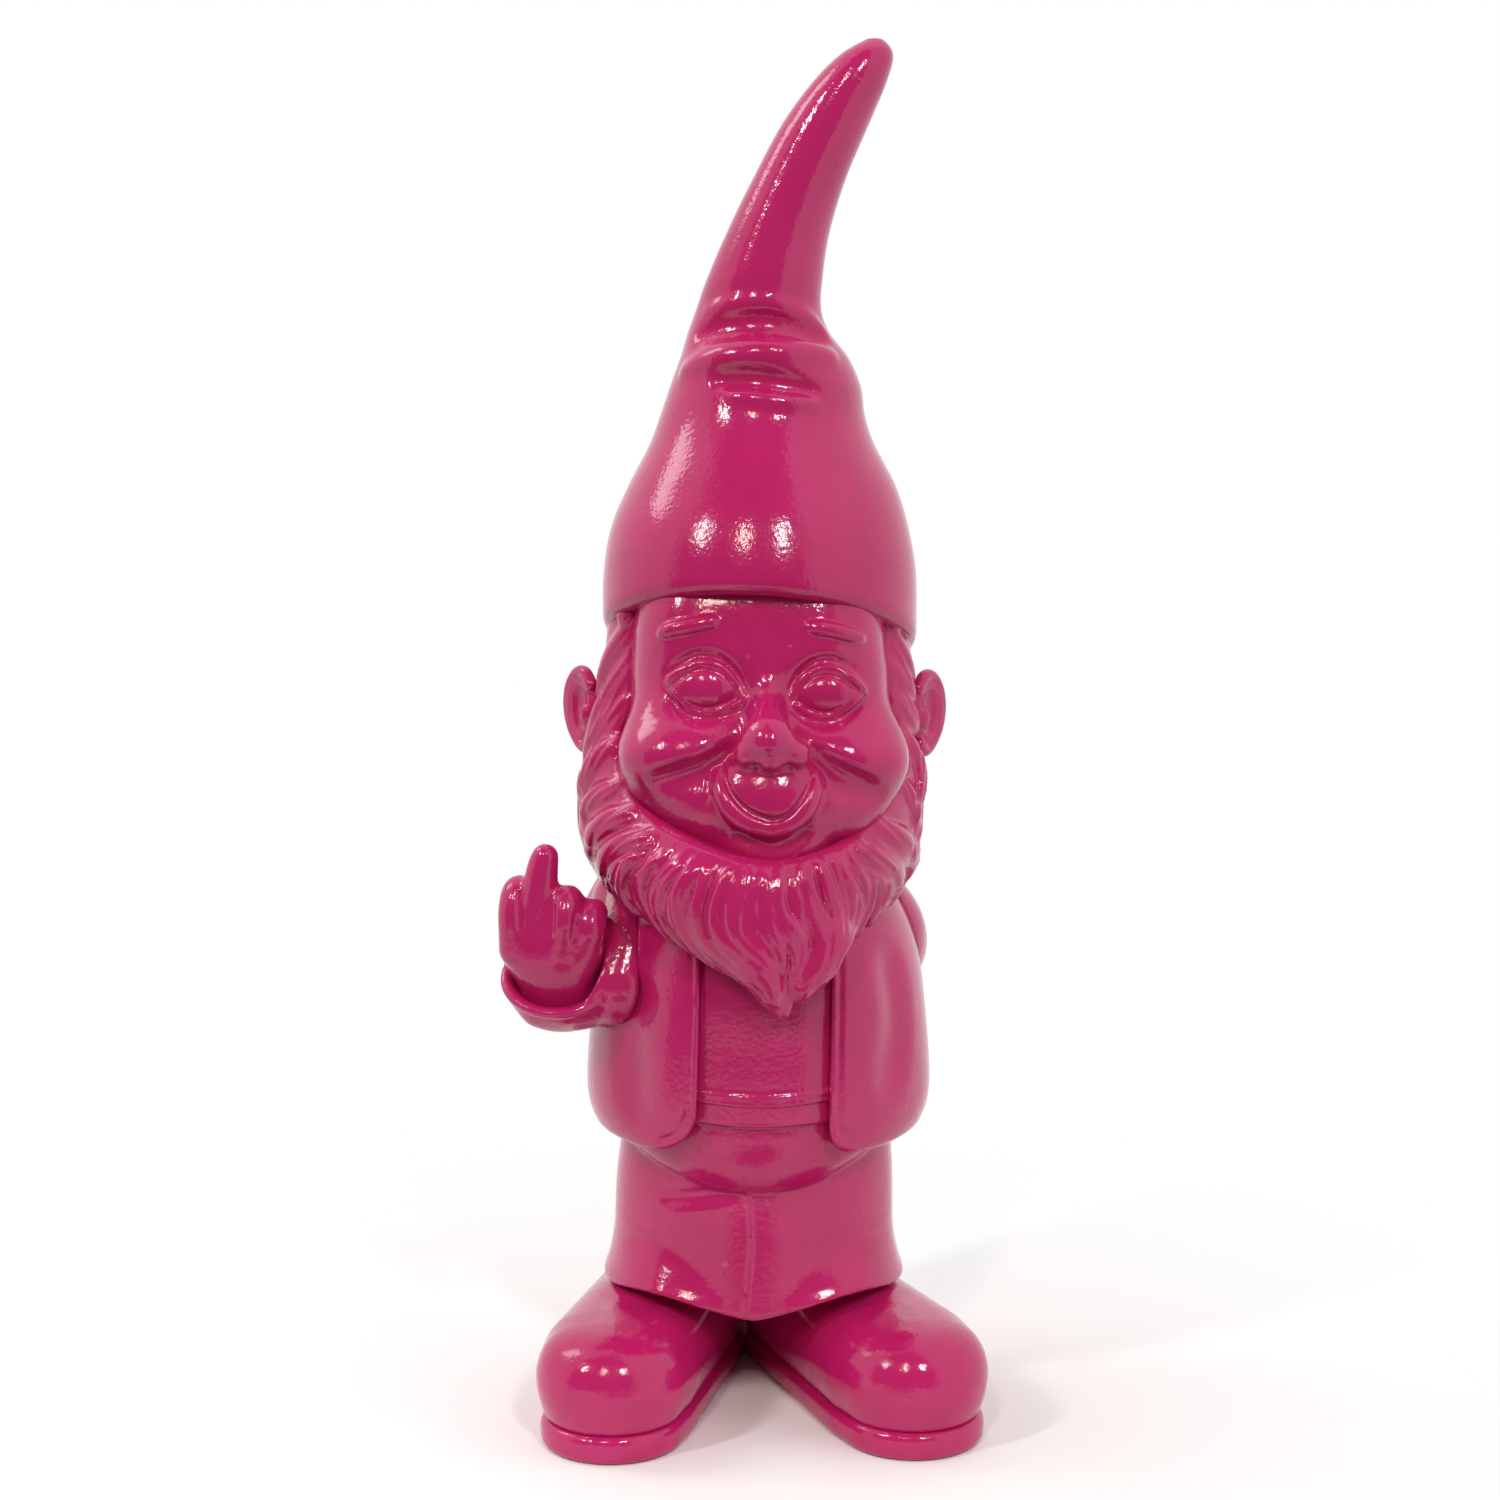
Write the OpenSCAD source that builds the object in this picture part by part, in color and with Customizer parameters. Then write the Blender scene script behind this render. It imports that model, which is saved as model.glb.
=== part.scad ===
// Garden gnome: a hollow cast-resin ornament in separate mouldings, glued at spigots, sockets and pins.
// Millimetres, +Z up, the face looks along -Y. Right and left are the figure's own sides.
// The origin lies on the ground under the middle of the whole figure.

/* [Casting] */
// Wall thickness of the hollow castings
wall = 5; // [3.5:0.5:6]
// Glue gap between two castings
glue_gap = 0.2; // [0.1:0.05:0.3]

/* [Soles] */
// Thickness of a sole
sole_h = 6.5; // [5:0.25:9]
// Radius of the sole around the toes
toe_r = 16; // [14:0.5:17]
// Radius of the sole at the ball of the foot
ball_r = 19; // [17.5:0.5:20]
// Radius of the sole around the heel
heel_r = 17; // [14:0.5:18]
// Distance from the heel's centre to the toe's centre
foot_len = 55.5; // [50:0.5:58]
// Distance from the heel's centre to the ball of the foot
ball_at = 47; // [42:0.5:49]
// How far the sole stands out past the upper
welt = 0.9; // [0.5:0.1:1.5]
// Distance between the two heel centres
heel_spread = 45; // [42:0.5:50]
// How far the stance is shifted to the figure's right
stance_shift = 3.6; // [2:0.2:5]
// How far the heels stand behind the body's axis
heel_back = 13.5; // [10:0.5:16]
// Outward turn of the right foot, degrees
right_splay = 11; // [8:1:16]
// Outward turn of the left foot, degrees
left_splay = 21; // [16:1:23]

/* [Boots] */
// Height of the boot above the sole, up to the trouser hem
boot_h = 23; // [19:0.5:27]
// Height of the toe cap's dome above the sole
toe_cap_h = 25; // [20:0.5:28]
// Radius of the spigot that goes up into the trouser leg
spigot_r = 10; // [8:0.5:11]
// Height of the spigot above the hem
spigot_h = 14; // [10:1:18]

/* [Plugs] */
// Radius of the vent hole in the sole
vent_r = 5; // [4:0.25:6]
// Radius of the plug's flat head
plug_head_r = 7.5; // [6.5:0.25:8.5]
// Thickness of the plug's head
plug_head_t = 1.6; // [1.2:0.2:2.4]
// Length of the plug's shank above its head
plug_shank = 8; // [6:0.5:10]
// Clear space around the plug
plug_clear = 0.08; // [0.05:0.01:0.1]

/* [Trousers] */
// Height from hem to the top of the waistband
trousers_h = 57.5; // [50:0.5:64]
// Width across the belly
trousers_w = 74; // [70:0.5:78]
// Reach of the belly in front of the axis
trousers_front = 38; // [36:0.5:39]
// Reach of the seat behind the axis
trousers_back = 30; // [28:0.5:32]

/* [Torso] */
// Height of the shirt body from waistband to shoulders
torso_h = 58; // [52:0.5:64]
// Width of the shirt body
torso_w = 80; // [77:0.5:81]
// Reach of the shirt in front of the axis
torso_front = 42; // [40:0.5:43]
// Reach of the shirt behind the axis
torso_back = 33; // [31:0.5:34]
// Radius of the neck spigot
neck_r = 13; // [11:0.5:15]
// Length of the neck spigot
neck_h = 12; // [9:0.5:14]

/* [Jacket] */
// Height of the jacket from its hem to the collar
jacket_h = 76; // [72:0.5:78]
// Thickness of the jacket over the shirt, at the sides
jacket_t = 4.75; // [3.75:0.25:5.5]
// Width of the open front
open_w = 32; // [28:0.5:36]
// How far the open front sits to the figure's left
open_shift = 1.4; // [0:0.2:3]
// Rounding of the jacket's lower front corners
corner_r = 9; // [6:0.5:12]

/* [Head] */
// Height from the chin's underside to the crown
head_h = 90; // [86:0.5:94]
// Width of the head
head_w = 70; // [66:0.5:72]
// Reach of the face in front of the axis
head_front = 42; // [40:0.5:43]
// Reach of the head behind the axis
head_back = 36; // [34:0.5:37]
// Turn of the head to the figure's left, degrees
head_turn = 3; // [0:0.5:5]
// Height of an ear
ear_h = 24; // [20:0.5:27]
// Length of the nose out of the face
nose_out = 13; // [10:0.5:15]

/* [Hair and beard] */
// Height from the beard's tip to the brim
hair_h = 90; // [86:0.5:94]
// Width of hair and beard at the jaw
hair_w = 90; // [86:0.5:92]
// Reach of the beard in front of the axis
hair_front = 56; // [53:0.5:58]
// Reach of the hair behind the axis
hair_back = 41; // [39:0.5:43]
// Width of the face between the two sides of the beard
face_w = 64; // [60:0.5:66]
// Height of the bare face, from the lower lip up
face_h = 70; // [66:0.5:74]

/* [Hat] */
// Height of the hat above its brim
hat_h = 148; // [136:1:160]
// Width of the brim
hat_w = 80; // [78:0.5:84]
// Depth of the brim, front to back
hat_d = 84; // [82:0.5:88]
// Backward tilt of the brim, degrees
brim_tilt = 16; // [12:0.5:18]
// Sideways lean of the tip to the figure's left
tip_lean = 29; // [22:0.5:34]

/* [Arms] */
// Reach of the raised right hand to the side of the body's axis
hand_reach = 64.5; // [62:0.5:67]
// Reach of the left sleeve behind the body's axis
arm_back = 48; // [46:0.5:51]
// Radius of the sleeve at the shoulder
shoulder_r = 14; // [12:0.5:15]
// Radius of the right cuff
cuff_r = 16; // [14:0.5:17]
// Width of the right hand across the knuckles
hand_w = 25; // [22:0.5:27]
// Length of the raised finger above the knuckles
finger_len = 18; // [15:0.5:20]
// Radius of the raised finger
finger_r = 3.6; // [3.2:0.1:4]
// Radius of the steel wire inside the finger
wire_r = 1; // [0.8:0.1:1.2]
// Radius of the steel pins in the shoulders and the left wrist
pin_r = 2; // [1.5:0.25:2.5]
// Length of a shoulder pin
pin_len = 20; // [16:1:24]

/* [Hidden] */

// Lacquer and metal colours
PINK = "mediumvioletred";
STEEL = "silver";
SOFT = "dimgray";

// Heights of the joints between the castings
hem_z = sole_h + boot_h;
waist_z = hem_z + trousers_h;
shoulder_z = waist_z + torso_h;
chin_z = shoulder_z + glue_gap;
brim_z = chin_z + head_h * 0.61;
jacket_z = shoulder_z - jacket_h;
beard_z = brim_z - hair_h;

// Size of the jacket around the shirt
jacket_w = torso_w + 2 * jacket_t;
jacket_front = torso_front + jacket_t * 0.737;
jacket_back = torso_back + jacket_t * 1.053;

// Sizes that the small forms of the face, arms, hands and feet are measured in
face_u = head_w / 70;
arm_u = shoulder_r / 14;
hand_u = hand_w / 25;
foot_u = heel_r / 17;

// Heights and places of the face
eye_z = chin_z + head_h * 0.48;
nose_z = chin_z + head_h * 0.355;
mouth_z = chin_z + head_h * 0.22;
ear_z = chin_z + head_h * 0.40;
ear_x = head_w * 0.5657;
ear_part_y = head_back * 0.25;

// Places of the arms
shoulder_x = jacket_w / 2 - shoulder_r * 1.0714;
arm_z = shoulder_z - torso_h * 0.3448;
elbow_z = shoulder_z - torso_h * 0.5345;
knuckle_z = shoulder_z - torso_h * 0.138;
hand_x = hand_w / 2 - hand_reach;
hand_y = -torso_front * 0.6905;
forearm_r = shoulder_r * 0.82;
back_hand_y = arm_back - forearm_r * 0.739;
back_hand_z = shoulder_z - torso_h * 0.793;
pin_fit = 0.05;

// Side of the blocks that cut a casting off along a plane
cut_side = 400;

// Place of the body's own axis, which puts the origin under the middle of the whole figure
left_foot_reach = heel_spread / 2 - stance_shift + ball_at * sin(left_splay) + ball_r;
toe_reach = foot_len * cos(right_splay) + toe_r - heel_back;
axis_x = (hand_reach - left_foot_reach) / 2;
axis_y = (toe_reach - arm_back) / 2;

// Outlines as rows of shares: height, shift x, shift y, half-width, front reach, back reach
HAT_ROWS = [
    [-0.12, 0.01, 0, 1.005, 1.00, 1.00],
    [0.00, 0.01, 0, 1.005, 1.00, 1.00],
    [0.10, 0.01, 0, 1.00, 0.97, 0.99],
    [0.18, 0.01, 0.0238, 0.95, 0.92, 0.93],
    [0.25, 0.03, 0.0476, 0.855, 0.82, 0.82],
    [0.32, 0.03, 0.0714, 0.72, 0.70, 0.68],
    [0.37, 0.035, 0.0952, 0.655, 0.64, 0.61],
    [0.42, 0.06, 0.0952, 0.61, 0.60, 0.57],
    [0.47, 0.07, 0.0952, 0.555, 0.56, 0.53],
    [0.51, 0.045, 0.0952, 0.475, 0.42, 0.47],
    [0.55, 0.00, 0.0952, 0.40, 0.34, 0.42],
    [0.60, 0.05, 0.0714, 0.37, 0.34, 0.37],
    [0.68, 0.17, 0.0476, 0.327, 0.31, 0.32],
    [0.77, 0.355, 0.0238, 0.295, 0.28, 0.28],
    [0.86, 0.58, 0, 0.275, 0.26, 0.26],
    [0.93, 0.79, -0.0238, 0.232, 0.22, 0.22],
    [0.975, 0.935, -0.0238, 0.165, 0.16, 0.16],
    [1.00, 1.00, -0.0238, 0.05, 0.05, 0.05]];
HEAD_ROWS = [
    [0.00, 0, 0, 0.80, 0.84, 0.80],
    [0.07, 0, 0, 0.92, 0.98, 0.92],
    [0.18, 0, 0, 0.98, 1.00, 0.98],
    [0.32, 0, 0, 1.00, 1.00, 1.00],
    [0.46, 0, 0, 0.99, 0.93, 1.00],
    [0.60, 0, 0, 0.97, 0.90, 1.00],
    [0.74, 0, 0, 0.92, 0.84, 0.95],
    [0.87, 0, 0, 0.74, 0.68, 0.76],
    [0.96, 0, 0, 0.42, 0.38, 0.43],
    [1.00, 0, 0, 0.08, 0.08, 0.08]];
HAIR_ROWS = [
    [0.00, 0.0333, 0, 0.04, 0.88, 0.30],
    [0.05, 0.0333, 0, 0.20, 0.94, 0.40],
    [0.12, 0.0222, 0, 0.47, 0.98, 0.60],
    [0.20, 0, 0, 0.70, 1.00, 0.80],
    [0.30, -0.0167, 0, 0.885, 0.99, 0.90],
    [0.42, -0.0244, 0, 0.98, 0.95, 0.97],
    [0.55, -0.0222, 0, 0.99, 0.79, 1.00],
    [0.70, -0.0167, 0, 0.96, 0.585, 1.00],
    [0.85, -0.0056, 0, 0.91, 0.50, 1.00],
    [1.00, 0, 0, 0.885, 0.50, 1.00],
    [1.15, 0, 0, 0.87, 0.50, 1.00]];
// Locks of the beard and of the hair at each side, as shares of half the hair's width and of its height
BEARD_LOCKS = [
    [[-0.747, 0.443], [-0.856, 0.382], [-0.878, 0.321], [-0.80, 0.254]],
    [[-0.511, 0.438], [-0.622, 0.372], [-0.636, 0.302], [-0.549, 0.227], [-0.433, 0.16]],
    [[-0.336, 0.42], [-0.436, 0.329], [-0.433, 0.254], [-0.324, 0.179], [-0.142, 0.101]],
    [[-0.162, 0.399], [-0.224, 0.303], [-0.211, 0.236], [-0.089, 0.173], [0.049, 0.104]],
    [[0.033, 0.391], [-0.004, 0.312], [0.033, 0.257], [0.093, 0.201], [0.111, 0.129]],
    [[0.167, 0.388], [0.216, 0.281], [0.264, 0.219], [0.253, 0.157], [0.191, 0.072]],
    [[0.327, 0.41], [0.389, 0.319], [0.413, 0.25], [0.389, 0.181], [0.304, 0.088]],
    [[0.478, 0.429], [0.578, 0.344], [0.591, 0.281], [0.542, 0.219], [0.456, 0.132]],
    [[0.64, 0.45], [0.767, 0.372], [0.778, 0.314], [0.724, 0.243]]];
SIDE_LOCKS = [
    [[-0.72, 0.98], [-0.82, 0.90], [-0.89, 0.82]],
    [[-0.80, 0.84], [-0.88, 0.77], [-0.95, 0.68]],
    [[-0.84, 0.68], [-0.92, 0.60], [-0.97, 0.52]],
    [[-0.70, 0.52], [-0.83, 0.46], [-0.92, 0.38]],
    [[0.72, 0.98], [0.82, 0.89], [0.88, 0.80]],
    [[0.79, 0.82], [0.86, 0.72], [0.90, 0.62]],
    [[0.80, 0.66], [0.84, 0.56], [0.88, 0.46]],
    [[0.70, 0.51], [0.79, 0.43], [0.82, 0.34]]];
TORSO_ROWS = [
    [0.00, 0, 0, 0.98, 1.00, 0.98],
    [0.20, 0, 0, 1.00, 1.00, 1.00],
    [0.50, 0, 0, 0.96, 1.00, 1.00],
    [0.75, 0, 0, 0.84, 0.92, 0.94],
    [0.92, 0, 0, 0.62, 0.70, 0.74],
    [1.00, 0, 0, 0.44, 0.46, 0.52]];
JACKET_ROWS = [
    [0.00, 0, 0, 0.87, 0.93, 0.93],
    [0.06, 0, 0, 0.95, 0.98, 0.98],
    [0.18, 0, 0, 1.00, 1.00, 1.00],
    [0.45, 0, 0, 0.97, 1.00, 1.00],
    [0.65, 0, 0, 0.92, 0.98, 1.00],
    [0.82, 0, 0, 0.81, 0.90, 0.95],
    [0.94, 0, 0, 0.63, 0.71, 0.80],
    [1.00, 0, 0, 0.49, 0.54, 0.62]];
BELLY_ROWS = [
    [0.34, -0.0135, 0, 0.55, 0.50, 0.60],
    [0.40, -0.0135, 0, 0.80, 0.76, 0.86],
    [0.50, -0.0135, 0, 0.94, 0.93, 0.96],
    [0.62, -0.0068, 0, 0.985, 1.00, 1.00],
    [0.78, 0, 0, 1.00, 1.02, 1.00],
    [0.90, 0, 0, 1.00, 1.00, 1.00],
    [1.00, 0, 0, 1.00, 1.00, 1.00]];
// Both legs as one body, which flares to the hem
LEGS_ROWS = [
    [0.00, -0.0162, 0, 1.06, 0.95, 1.00],
    [0.05, -0.0162, 0, 1.065, 0.955, 1.01],
    [0.12, -0.0162, 0, 1.03, 0.92, 0.99],
    [0.25, -0.0162, 0, 0.995, 0.88, 0.97],
    [0.50, -0.0135, 0, 0.98, 0.87, 0.97],
    [0.68, -0.0068, 0, 0.95, 0.85, 0.95]];

// Smooth rows through a list of rows, with a given number of steps in each span
function row_at(rows, i) = rows[max(0, min(len(rows) - 1, i))];
function between(a, b, c, d, t) =
    0.5 * (2 * b + (c - a) * t + (2 * a - 5 * b + 4 * c - d) * t * t + (3 * b - a - 3 * c + d) * t * t * t);
function smooth(rows, steps) = concat(
    [for (i = [0 : len(rows) - 2]) for (k = [0 : steps - 1])
        between(row_at(rows, i - 1), rows[i], rows[i + 1], row_at(rows, i + 2), k / steps)],
    [rows[len(rows) - 1]]);

// Rows of shares as rows of millimetres, pushed outwards by grow
function sized(rows, base, height, width, front, back, grow) = [for (i = [0 : len(rows) - 1])
    let (row = rows[i], outward = 2 * i / (len(rows) - 1) - 1)
    [base + row[0] * height + grow * outward, row[1] * width, row[2] * front,
        row[3] * width / 2 + grow, row[4] * front + grow, row[5] * back + grow]];

// One closed ring of points: an oval whose front and back reach differ
function ring(row, sides) = [for (k = [0 : sides - 1])
    let (a = 360 * k / sides)
    [row[1] + row[3] * cos(a), row[2] + (sin(a) < 0 ? row[4] : row[5]) * sin(a), row[0]]];

// A solid skinned over a list of rings
module skin(rings) {
    n = len(rings[0]);
    last = len(rings) - 1;
    points = [for (one = rings) each one];
    walls = [for (i = [0 : last - 1]) for (k = [0 : n - 1])
        let (a = i * n + k, b = i * n + (k + 1) % n, c = b + n, d = a + n)
        each [[a, d, c], [a, c, b]]];
    floor_face = [[for (k = [0 : n - 1]) k]];
    roof_face = [[for (k = [n - 1 : -1 : 0]) last * n + k]];
    polyhedron(points, concat(floor_face, walls, roof_face), convexity = 8);
}

// A solid body from rows of shares
module body(rows, base, height, width, front, back, grow = 0, sides = 40, steps = 2) {
    skin([for (row = smooth(sized(rows, base, height, width, front, back, grow), steps)) ring(row, sides)]);
}

// A round tube along places [x, y, z, radius]
function unit(v) = v / norm(v);
function place(p) = [p[0], p[1], p[2]];
function tube_ring(path, i, sides, side_way) =
    let (way = unit(place(row_at(path, i + 1)) - place(row_at(path, i - 1))),
        u = unit(cross(side_way, way)), v = cross(way, u))
    [for (k = [0 : sides - 1]) let (a = 360 * k / sides)
        place(path[i]) + path[i][3] * (u * cos(a) + v * sin(a))];
module tube(places, sides = 24, steps = 4, side_way = [0, 0, 1]) {
    path = smooth(places, steps);
    skin([for (i = [0 : len(path) - 1]) tube_ring(path, i, sides, side_way)]);
}

// A tube with a ball at each end
module limb(places, sides = 24, steps = 4, side_way = [0, 0, 1]) {
    last = places[len(places) - 1];
    tube(places, sides, steps, side_way);
    ball(place(places[0]), places[0][3] * [1, 1, 1], sides);
    ball(place(last), last[3] * [1, 1, 1], sides);
}

// An egg-shaped lump with its own radius along each axis
module ball(centre, radii, sides = 24) {
    translate(centre) scale(radii) sphere(1, $fn = sides);
}

// A sculpted casting, worked as one free-form skin
module sculpted() { resize([0, 0, 0]) children(); }

// Everything stands on the body's own axis
module on_axis() { translate([axis_x, axis_y, 0]) children(); }

// Forms that several castings share
module brim_side(drop, up) {
    translate([0, 0, brim_z - drop]) rotate([-brim_tilt, 2, 0])
        translate([-cut_side / 2, -cut_side / 2, up ? 0 : -cut_side]) cube(cut_side);
}
module hat_form() {
    lean = [for (row = HAT_ROWS) [row[0], row[1] * tip_lean / hat_w, row[2], row[3], row[4], row[5]]];
    difference() {
        body(lean, brim_z, hat_h, hat_w, hat_d / 2, hat_d / 2, 0, 36, 1);
        brim_side(0, false);
    }
}
module head_form(grow = 0) {
    rotate(head_turn) body(HEAD_ROWS, chin_z, head_h, head_w, head_front, head_back, grow, 26, 2);
}
module torso_form(grow = 0) {
    body(TORSO_ROWS, waist_z, torso_h, torso_w, torso_front, torso_back, grow, 28, 2);
}
module jacket_form(grow = 0) {
    body(JACKET_ROWS, jacket_z, jacket_h, jacket_w, jacket_front, jacket_back, grow, 32, 2);
}
function leg_x(side) = trousers_w * (side * 0.235 - 0.016);
module trousers_form(grow = 0) {
    body(BELLY_ROWS, hem_z, trousers_h, trousers_w, trousers_front, trousers_back, grow, 28, 2);
    body(LEGS_ROWS, hem_z, trousers_h, trousers_w, trousers_front, trousers_back, grow, 44, 2);
}
module hair_form(grow = 0) { body(HAIR_ROWS, beard_z, hair_h, hair_w, hair_front, hair_back, grow, 36, 1); }

// Head: a hollow skull with the face and the ears modelled on
module ear(side, grow = 0) {
    more = [grow, grow, grow];
    ball([side * ear_x, 2 * face_u, ear_z], [0.375, 0.25, 0.5] * ear_h + more, 14);
}
module cheek_and_brow(side, grow = 0) {
    u = face_u;
    front = -head_front;
    more = [grow, grow, grow];
    ball([side * 19.5 * u, front + 14.5 * u, nose_z - 6.5 * u], [16.4, 15, 15.5] * u + more, 18);
    ball([side * 18.4 * u, front + 7 * u, nose_z - 5.3 * u], [11.5, 9.8, 7.6] * u + more, 16);
    ball([side * 16.5 * u, front + 20 * u, eye_z + 9 * u], [11.5, 13, 19] * u + more, 18);
    limb([[side * 11.2 * u, front + 5.4 * u, eye_z + 16.5 * u, 2 * u + grow],
        [side * 17 * u, front + 6.7 * u, eye_z + 15.6 * u, 2.2 * u + grow],
        [side * 24.8 * u, front + 12 * u, eye_z + 13.2 * u, 1.7 * u + grow]], 8, 1);
}
module jaw(grow = 0) {
    u = face_u;
    more = [grow, grow, grow];
    ball([0, 12 * u - head_front, mouth_z - 5 * u], [27, 17, 15] * u + more, 20);
    ball([1.4 * u, u - head_front, mouth_z - 14.5 * u], [12, 7.5, 6] * u + more, 14);
}
module face_relief() {
    u = face_u;
    front = -head_front;
    jaw();
    for (side = [-1, 1]) {
        cheek_and_brow(side);
        ball([side * 4.9 * u, front - nose_out * 0.32, nose_z - 2.8 * u], [3.9, 4.8, 3.4] * u, 12);
        ear(side);
        limb([[side * 12.8 * u, front, mouth_z + 2.6 * u, 1.6 * u],
            [side * 10.2 * u, front - 3.4 * u, mouth_z - 4 * u, 2.1 * u],
            [side * 6 * u, front - 4 * u, mouth_z - 8 * u, 2.1 * u],
            [0, front - 4 * u, mouth_z - 10.2 * u, 2.1 * u]], 8, 1);
    }
    limb([[0, front + 6 * u, nose_z + 20 * u, 3.4 * u], [0, front + 3.4 * u, nose_z + 12 * u, 3.7 * u],
        [0, front - nose_out * 0.05, nose_z + 6 * u, 4.3 * u],
        [0, front - nose_out * 0.3, nose_z + 2 * u, 5 * u]], 12, 1, [1, 0, 0]);
    ball([0, front - nose_out * 0.49, nose_z], [5.7, 6, 5] * u, 14);
}
module face_hollows() {
    u = face_u;
    front = -head_front;
    ball([0, front - 12 * u, mouth_z + 1.5 * u], [12.4, 9.5, 8.6] * u, 16);
    for (side = [-1, 1]) {
        ball([side * 14.6 * u, front - 1.2 * u, eye_z + 0.6 * u], [11, 8.2, 7.8] * u, 16);
        ball([side * (ear_x + 5.4 * u), -2 * u, ear_z], [5 * u, 5 * u, ear_h * 0.2917], 12);
    }
}
module eyelid(side, tip_z, mid_z, r) {
    u = face_u;
    front = -head_front;
    limb([[side * 23.6 * u, front + 9 * u, eye_z + tip_z * u, r * 0.8 * u],
        [side * 19.4 * u, front + 6.2 * u, eye_z + mid_z * 0.76 * u, r * u],
        [side * 14.6 * u, front + 5 * u, eye_z + mid_z * u, r * u],
        [side * 9.8 * u, front + 4.6 * u, eye_z + mid_z * 0.8 * u, r * u],
        [side * 5.8 * u, front + 4.4 * u, eye_z - 2.7 * u, r * 0.8 * u]], 6, 1);
}
module face_fills() {
    u = face_u;
    ball([0, -0.6 * u - head_front, mouth_z + 2.2 * u], [11.2, 7, 9.4] * u, 16);
    for (side = [-1, 1]) {
        ball([side * 14.6 * u, 10.6 * u - head_front, eye_z - 0.4 * u], [9.4, 6.6, 6.4] * u, 14);
        eyelid(side, 1.2, 6, 1.4);
        eyelid(side, 0, -5.8, 1.1);
    }
}
module head() {
    floor_z = chin_z + neck_h + wall * 0.4;
    color(PINK) on_axis() difference() {
        sculpted() difference() {
            union() {
                difference() {
                    union() {
                        head_form();
                        rotate(head_turn) face_relief();
                    }
                    rotate(head_turn) face_hollows();
                }
                rotate(head_turn) face_fills();
            }
            body(HEAD_ROWS, floor_z, head_h - neck_h - wall * 1.4, head_w - 2 * wall, head_front - wall,
                head_back - wall, 0, 18, 1);
            translate([0, 0, chin_z - 1]) cylinder(r = neck_r * 0.92, h = neck_h * 1.8333, $fn = 24);
        }
        translate([0, 0, chin_z - 1]) cylinder(r = neck_r + glue_gap / 2, h = neck_h * 1.8333, $fn = 64);
    }
}

// Hat: solid horn above a socket that fits the crown
module hat() {
    color(PINK) on_axis() sculpted() difference() {
        hat_form();
        head_form(glue_gap);
        rotate(head_turn) {
            translate([0, 0, glue_gap]) face_relief();
            for (side = [-1, 1]) cheek_and_brow(side, glue_gap);
        }
    }
}

// Beard and hair: one ring of hair, parted behind the ears
module bare_face() {
    translate([0, -face_w * 0.1563, chin_z + face_h / 2]) rotate([90, 0, 0]) scale([face_w / face_h, 1, 1])
        cylinder(d = face_h, h = hair_front * 1.43, $fn = 48);
    jaw(glue_gap);
    for (side = [-1, 1]) {
        ear(side, glue_gap);
        cheek_and_brow(side, glue_gap);
    }
}
// A place on the hair's skin, sunk towards the axis
function hair_share(s, k) = lookup(s, [for (row = HAIR_ROWS) [row[0], row[k]]]);
function hair_skin(p, sunk) =
    let (x = p[0] * hair_w / 2, half = hair_share(p[1], 3) * hair_w / 2,
        lean = (x - hair_share(p[1], 1) * hair_w) / half,
        y = -hair_front * hair_share(p[1], 4) * sqrt(max(0.04, 1 - lean * lean)),
        share = 1 - sunk / norm([x, y]))
    [x * share, y * share, beard_z + p[1] * hair_h];
module lock(path, r) {
    last = len(path) - 1;
    tube([for (i = [0 : last])
        let (size = r * (i == 0 || i == last ? 0.45 : 1), p = hair_skin(path[i], r * 0.72))
        [p[0], p[1], p[2], size]], 8, 2, [1, 0, 0.3]);
}
module locks() {
    for (path = BEARD_LOCKS) lock(path, hair_w * 0.04);
    for (path = SIDE_LOCKS) lock(path, hair_w * 0.036);
}
module hair_casting() {
    difference() {
        union() {
            hair_form();
            locks();
        }
        brim_side(glue_gap, true);
        head_form(glue_gap);
        rotate(head_turn) bare_face();
        torso_form(glue_gap);
        jacket_form(glue_gap);
        translate([0, 0, shoulder_z - hair_h / 3])
            cylinder(r = neck_r + wall, h = hair_h * 0.6667, $fn = 32);
    }
}
module front_half(gap) {
    translate([-cut_side / 2, ear_part_y - cut_side - gap, 0]) cube(cut_side);
}
module beard() {
    color(PINK) on_axis() sculpted() intersection() {
        hair_casting();
        front_half(glue_gap / 2);
    }
}
module back_hair() {
    color(PINK) on_axis() sculpted() difference() {
        hair_casting();
        front_half(-glue_gap / 2);
    }
}

// Torso: hollow shirt body, open below, with a raised hem and the neck spigot on top
hem_lip = torso_w * 0.01;
hem_h = torso_h * 0.0276;
module shirt_hem(grow = 0) {
    intersection() {
        torso_form(hem_lip + grow);
        translate([0, 0, waist_z - grow]) cylinder(r = cut_side / 2, h = hem_h + 2 * grow, $fn = 24);
    }
}
module torso() {
    color(PINK) on_axis() difference() {
        union() {
            sculpted() difference() {
                union() {
                    torso_form();
                    shirt_hem();
                }
                body(TORSO_ROWS, waist_z - 1, torso_h - wall, torso_w - 2 * wall, torso_front - wall,
                    torso_back - wall, 0, 24, 1);
            }
            translate([0, 0, shoulder_z - 1]) cylinder(r = neck_r, h = neck_h + 1, $fn = 64);
        }
        for (side = [-1, 1]) shoulder_pin_bore(side);
    }
}

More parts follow.
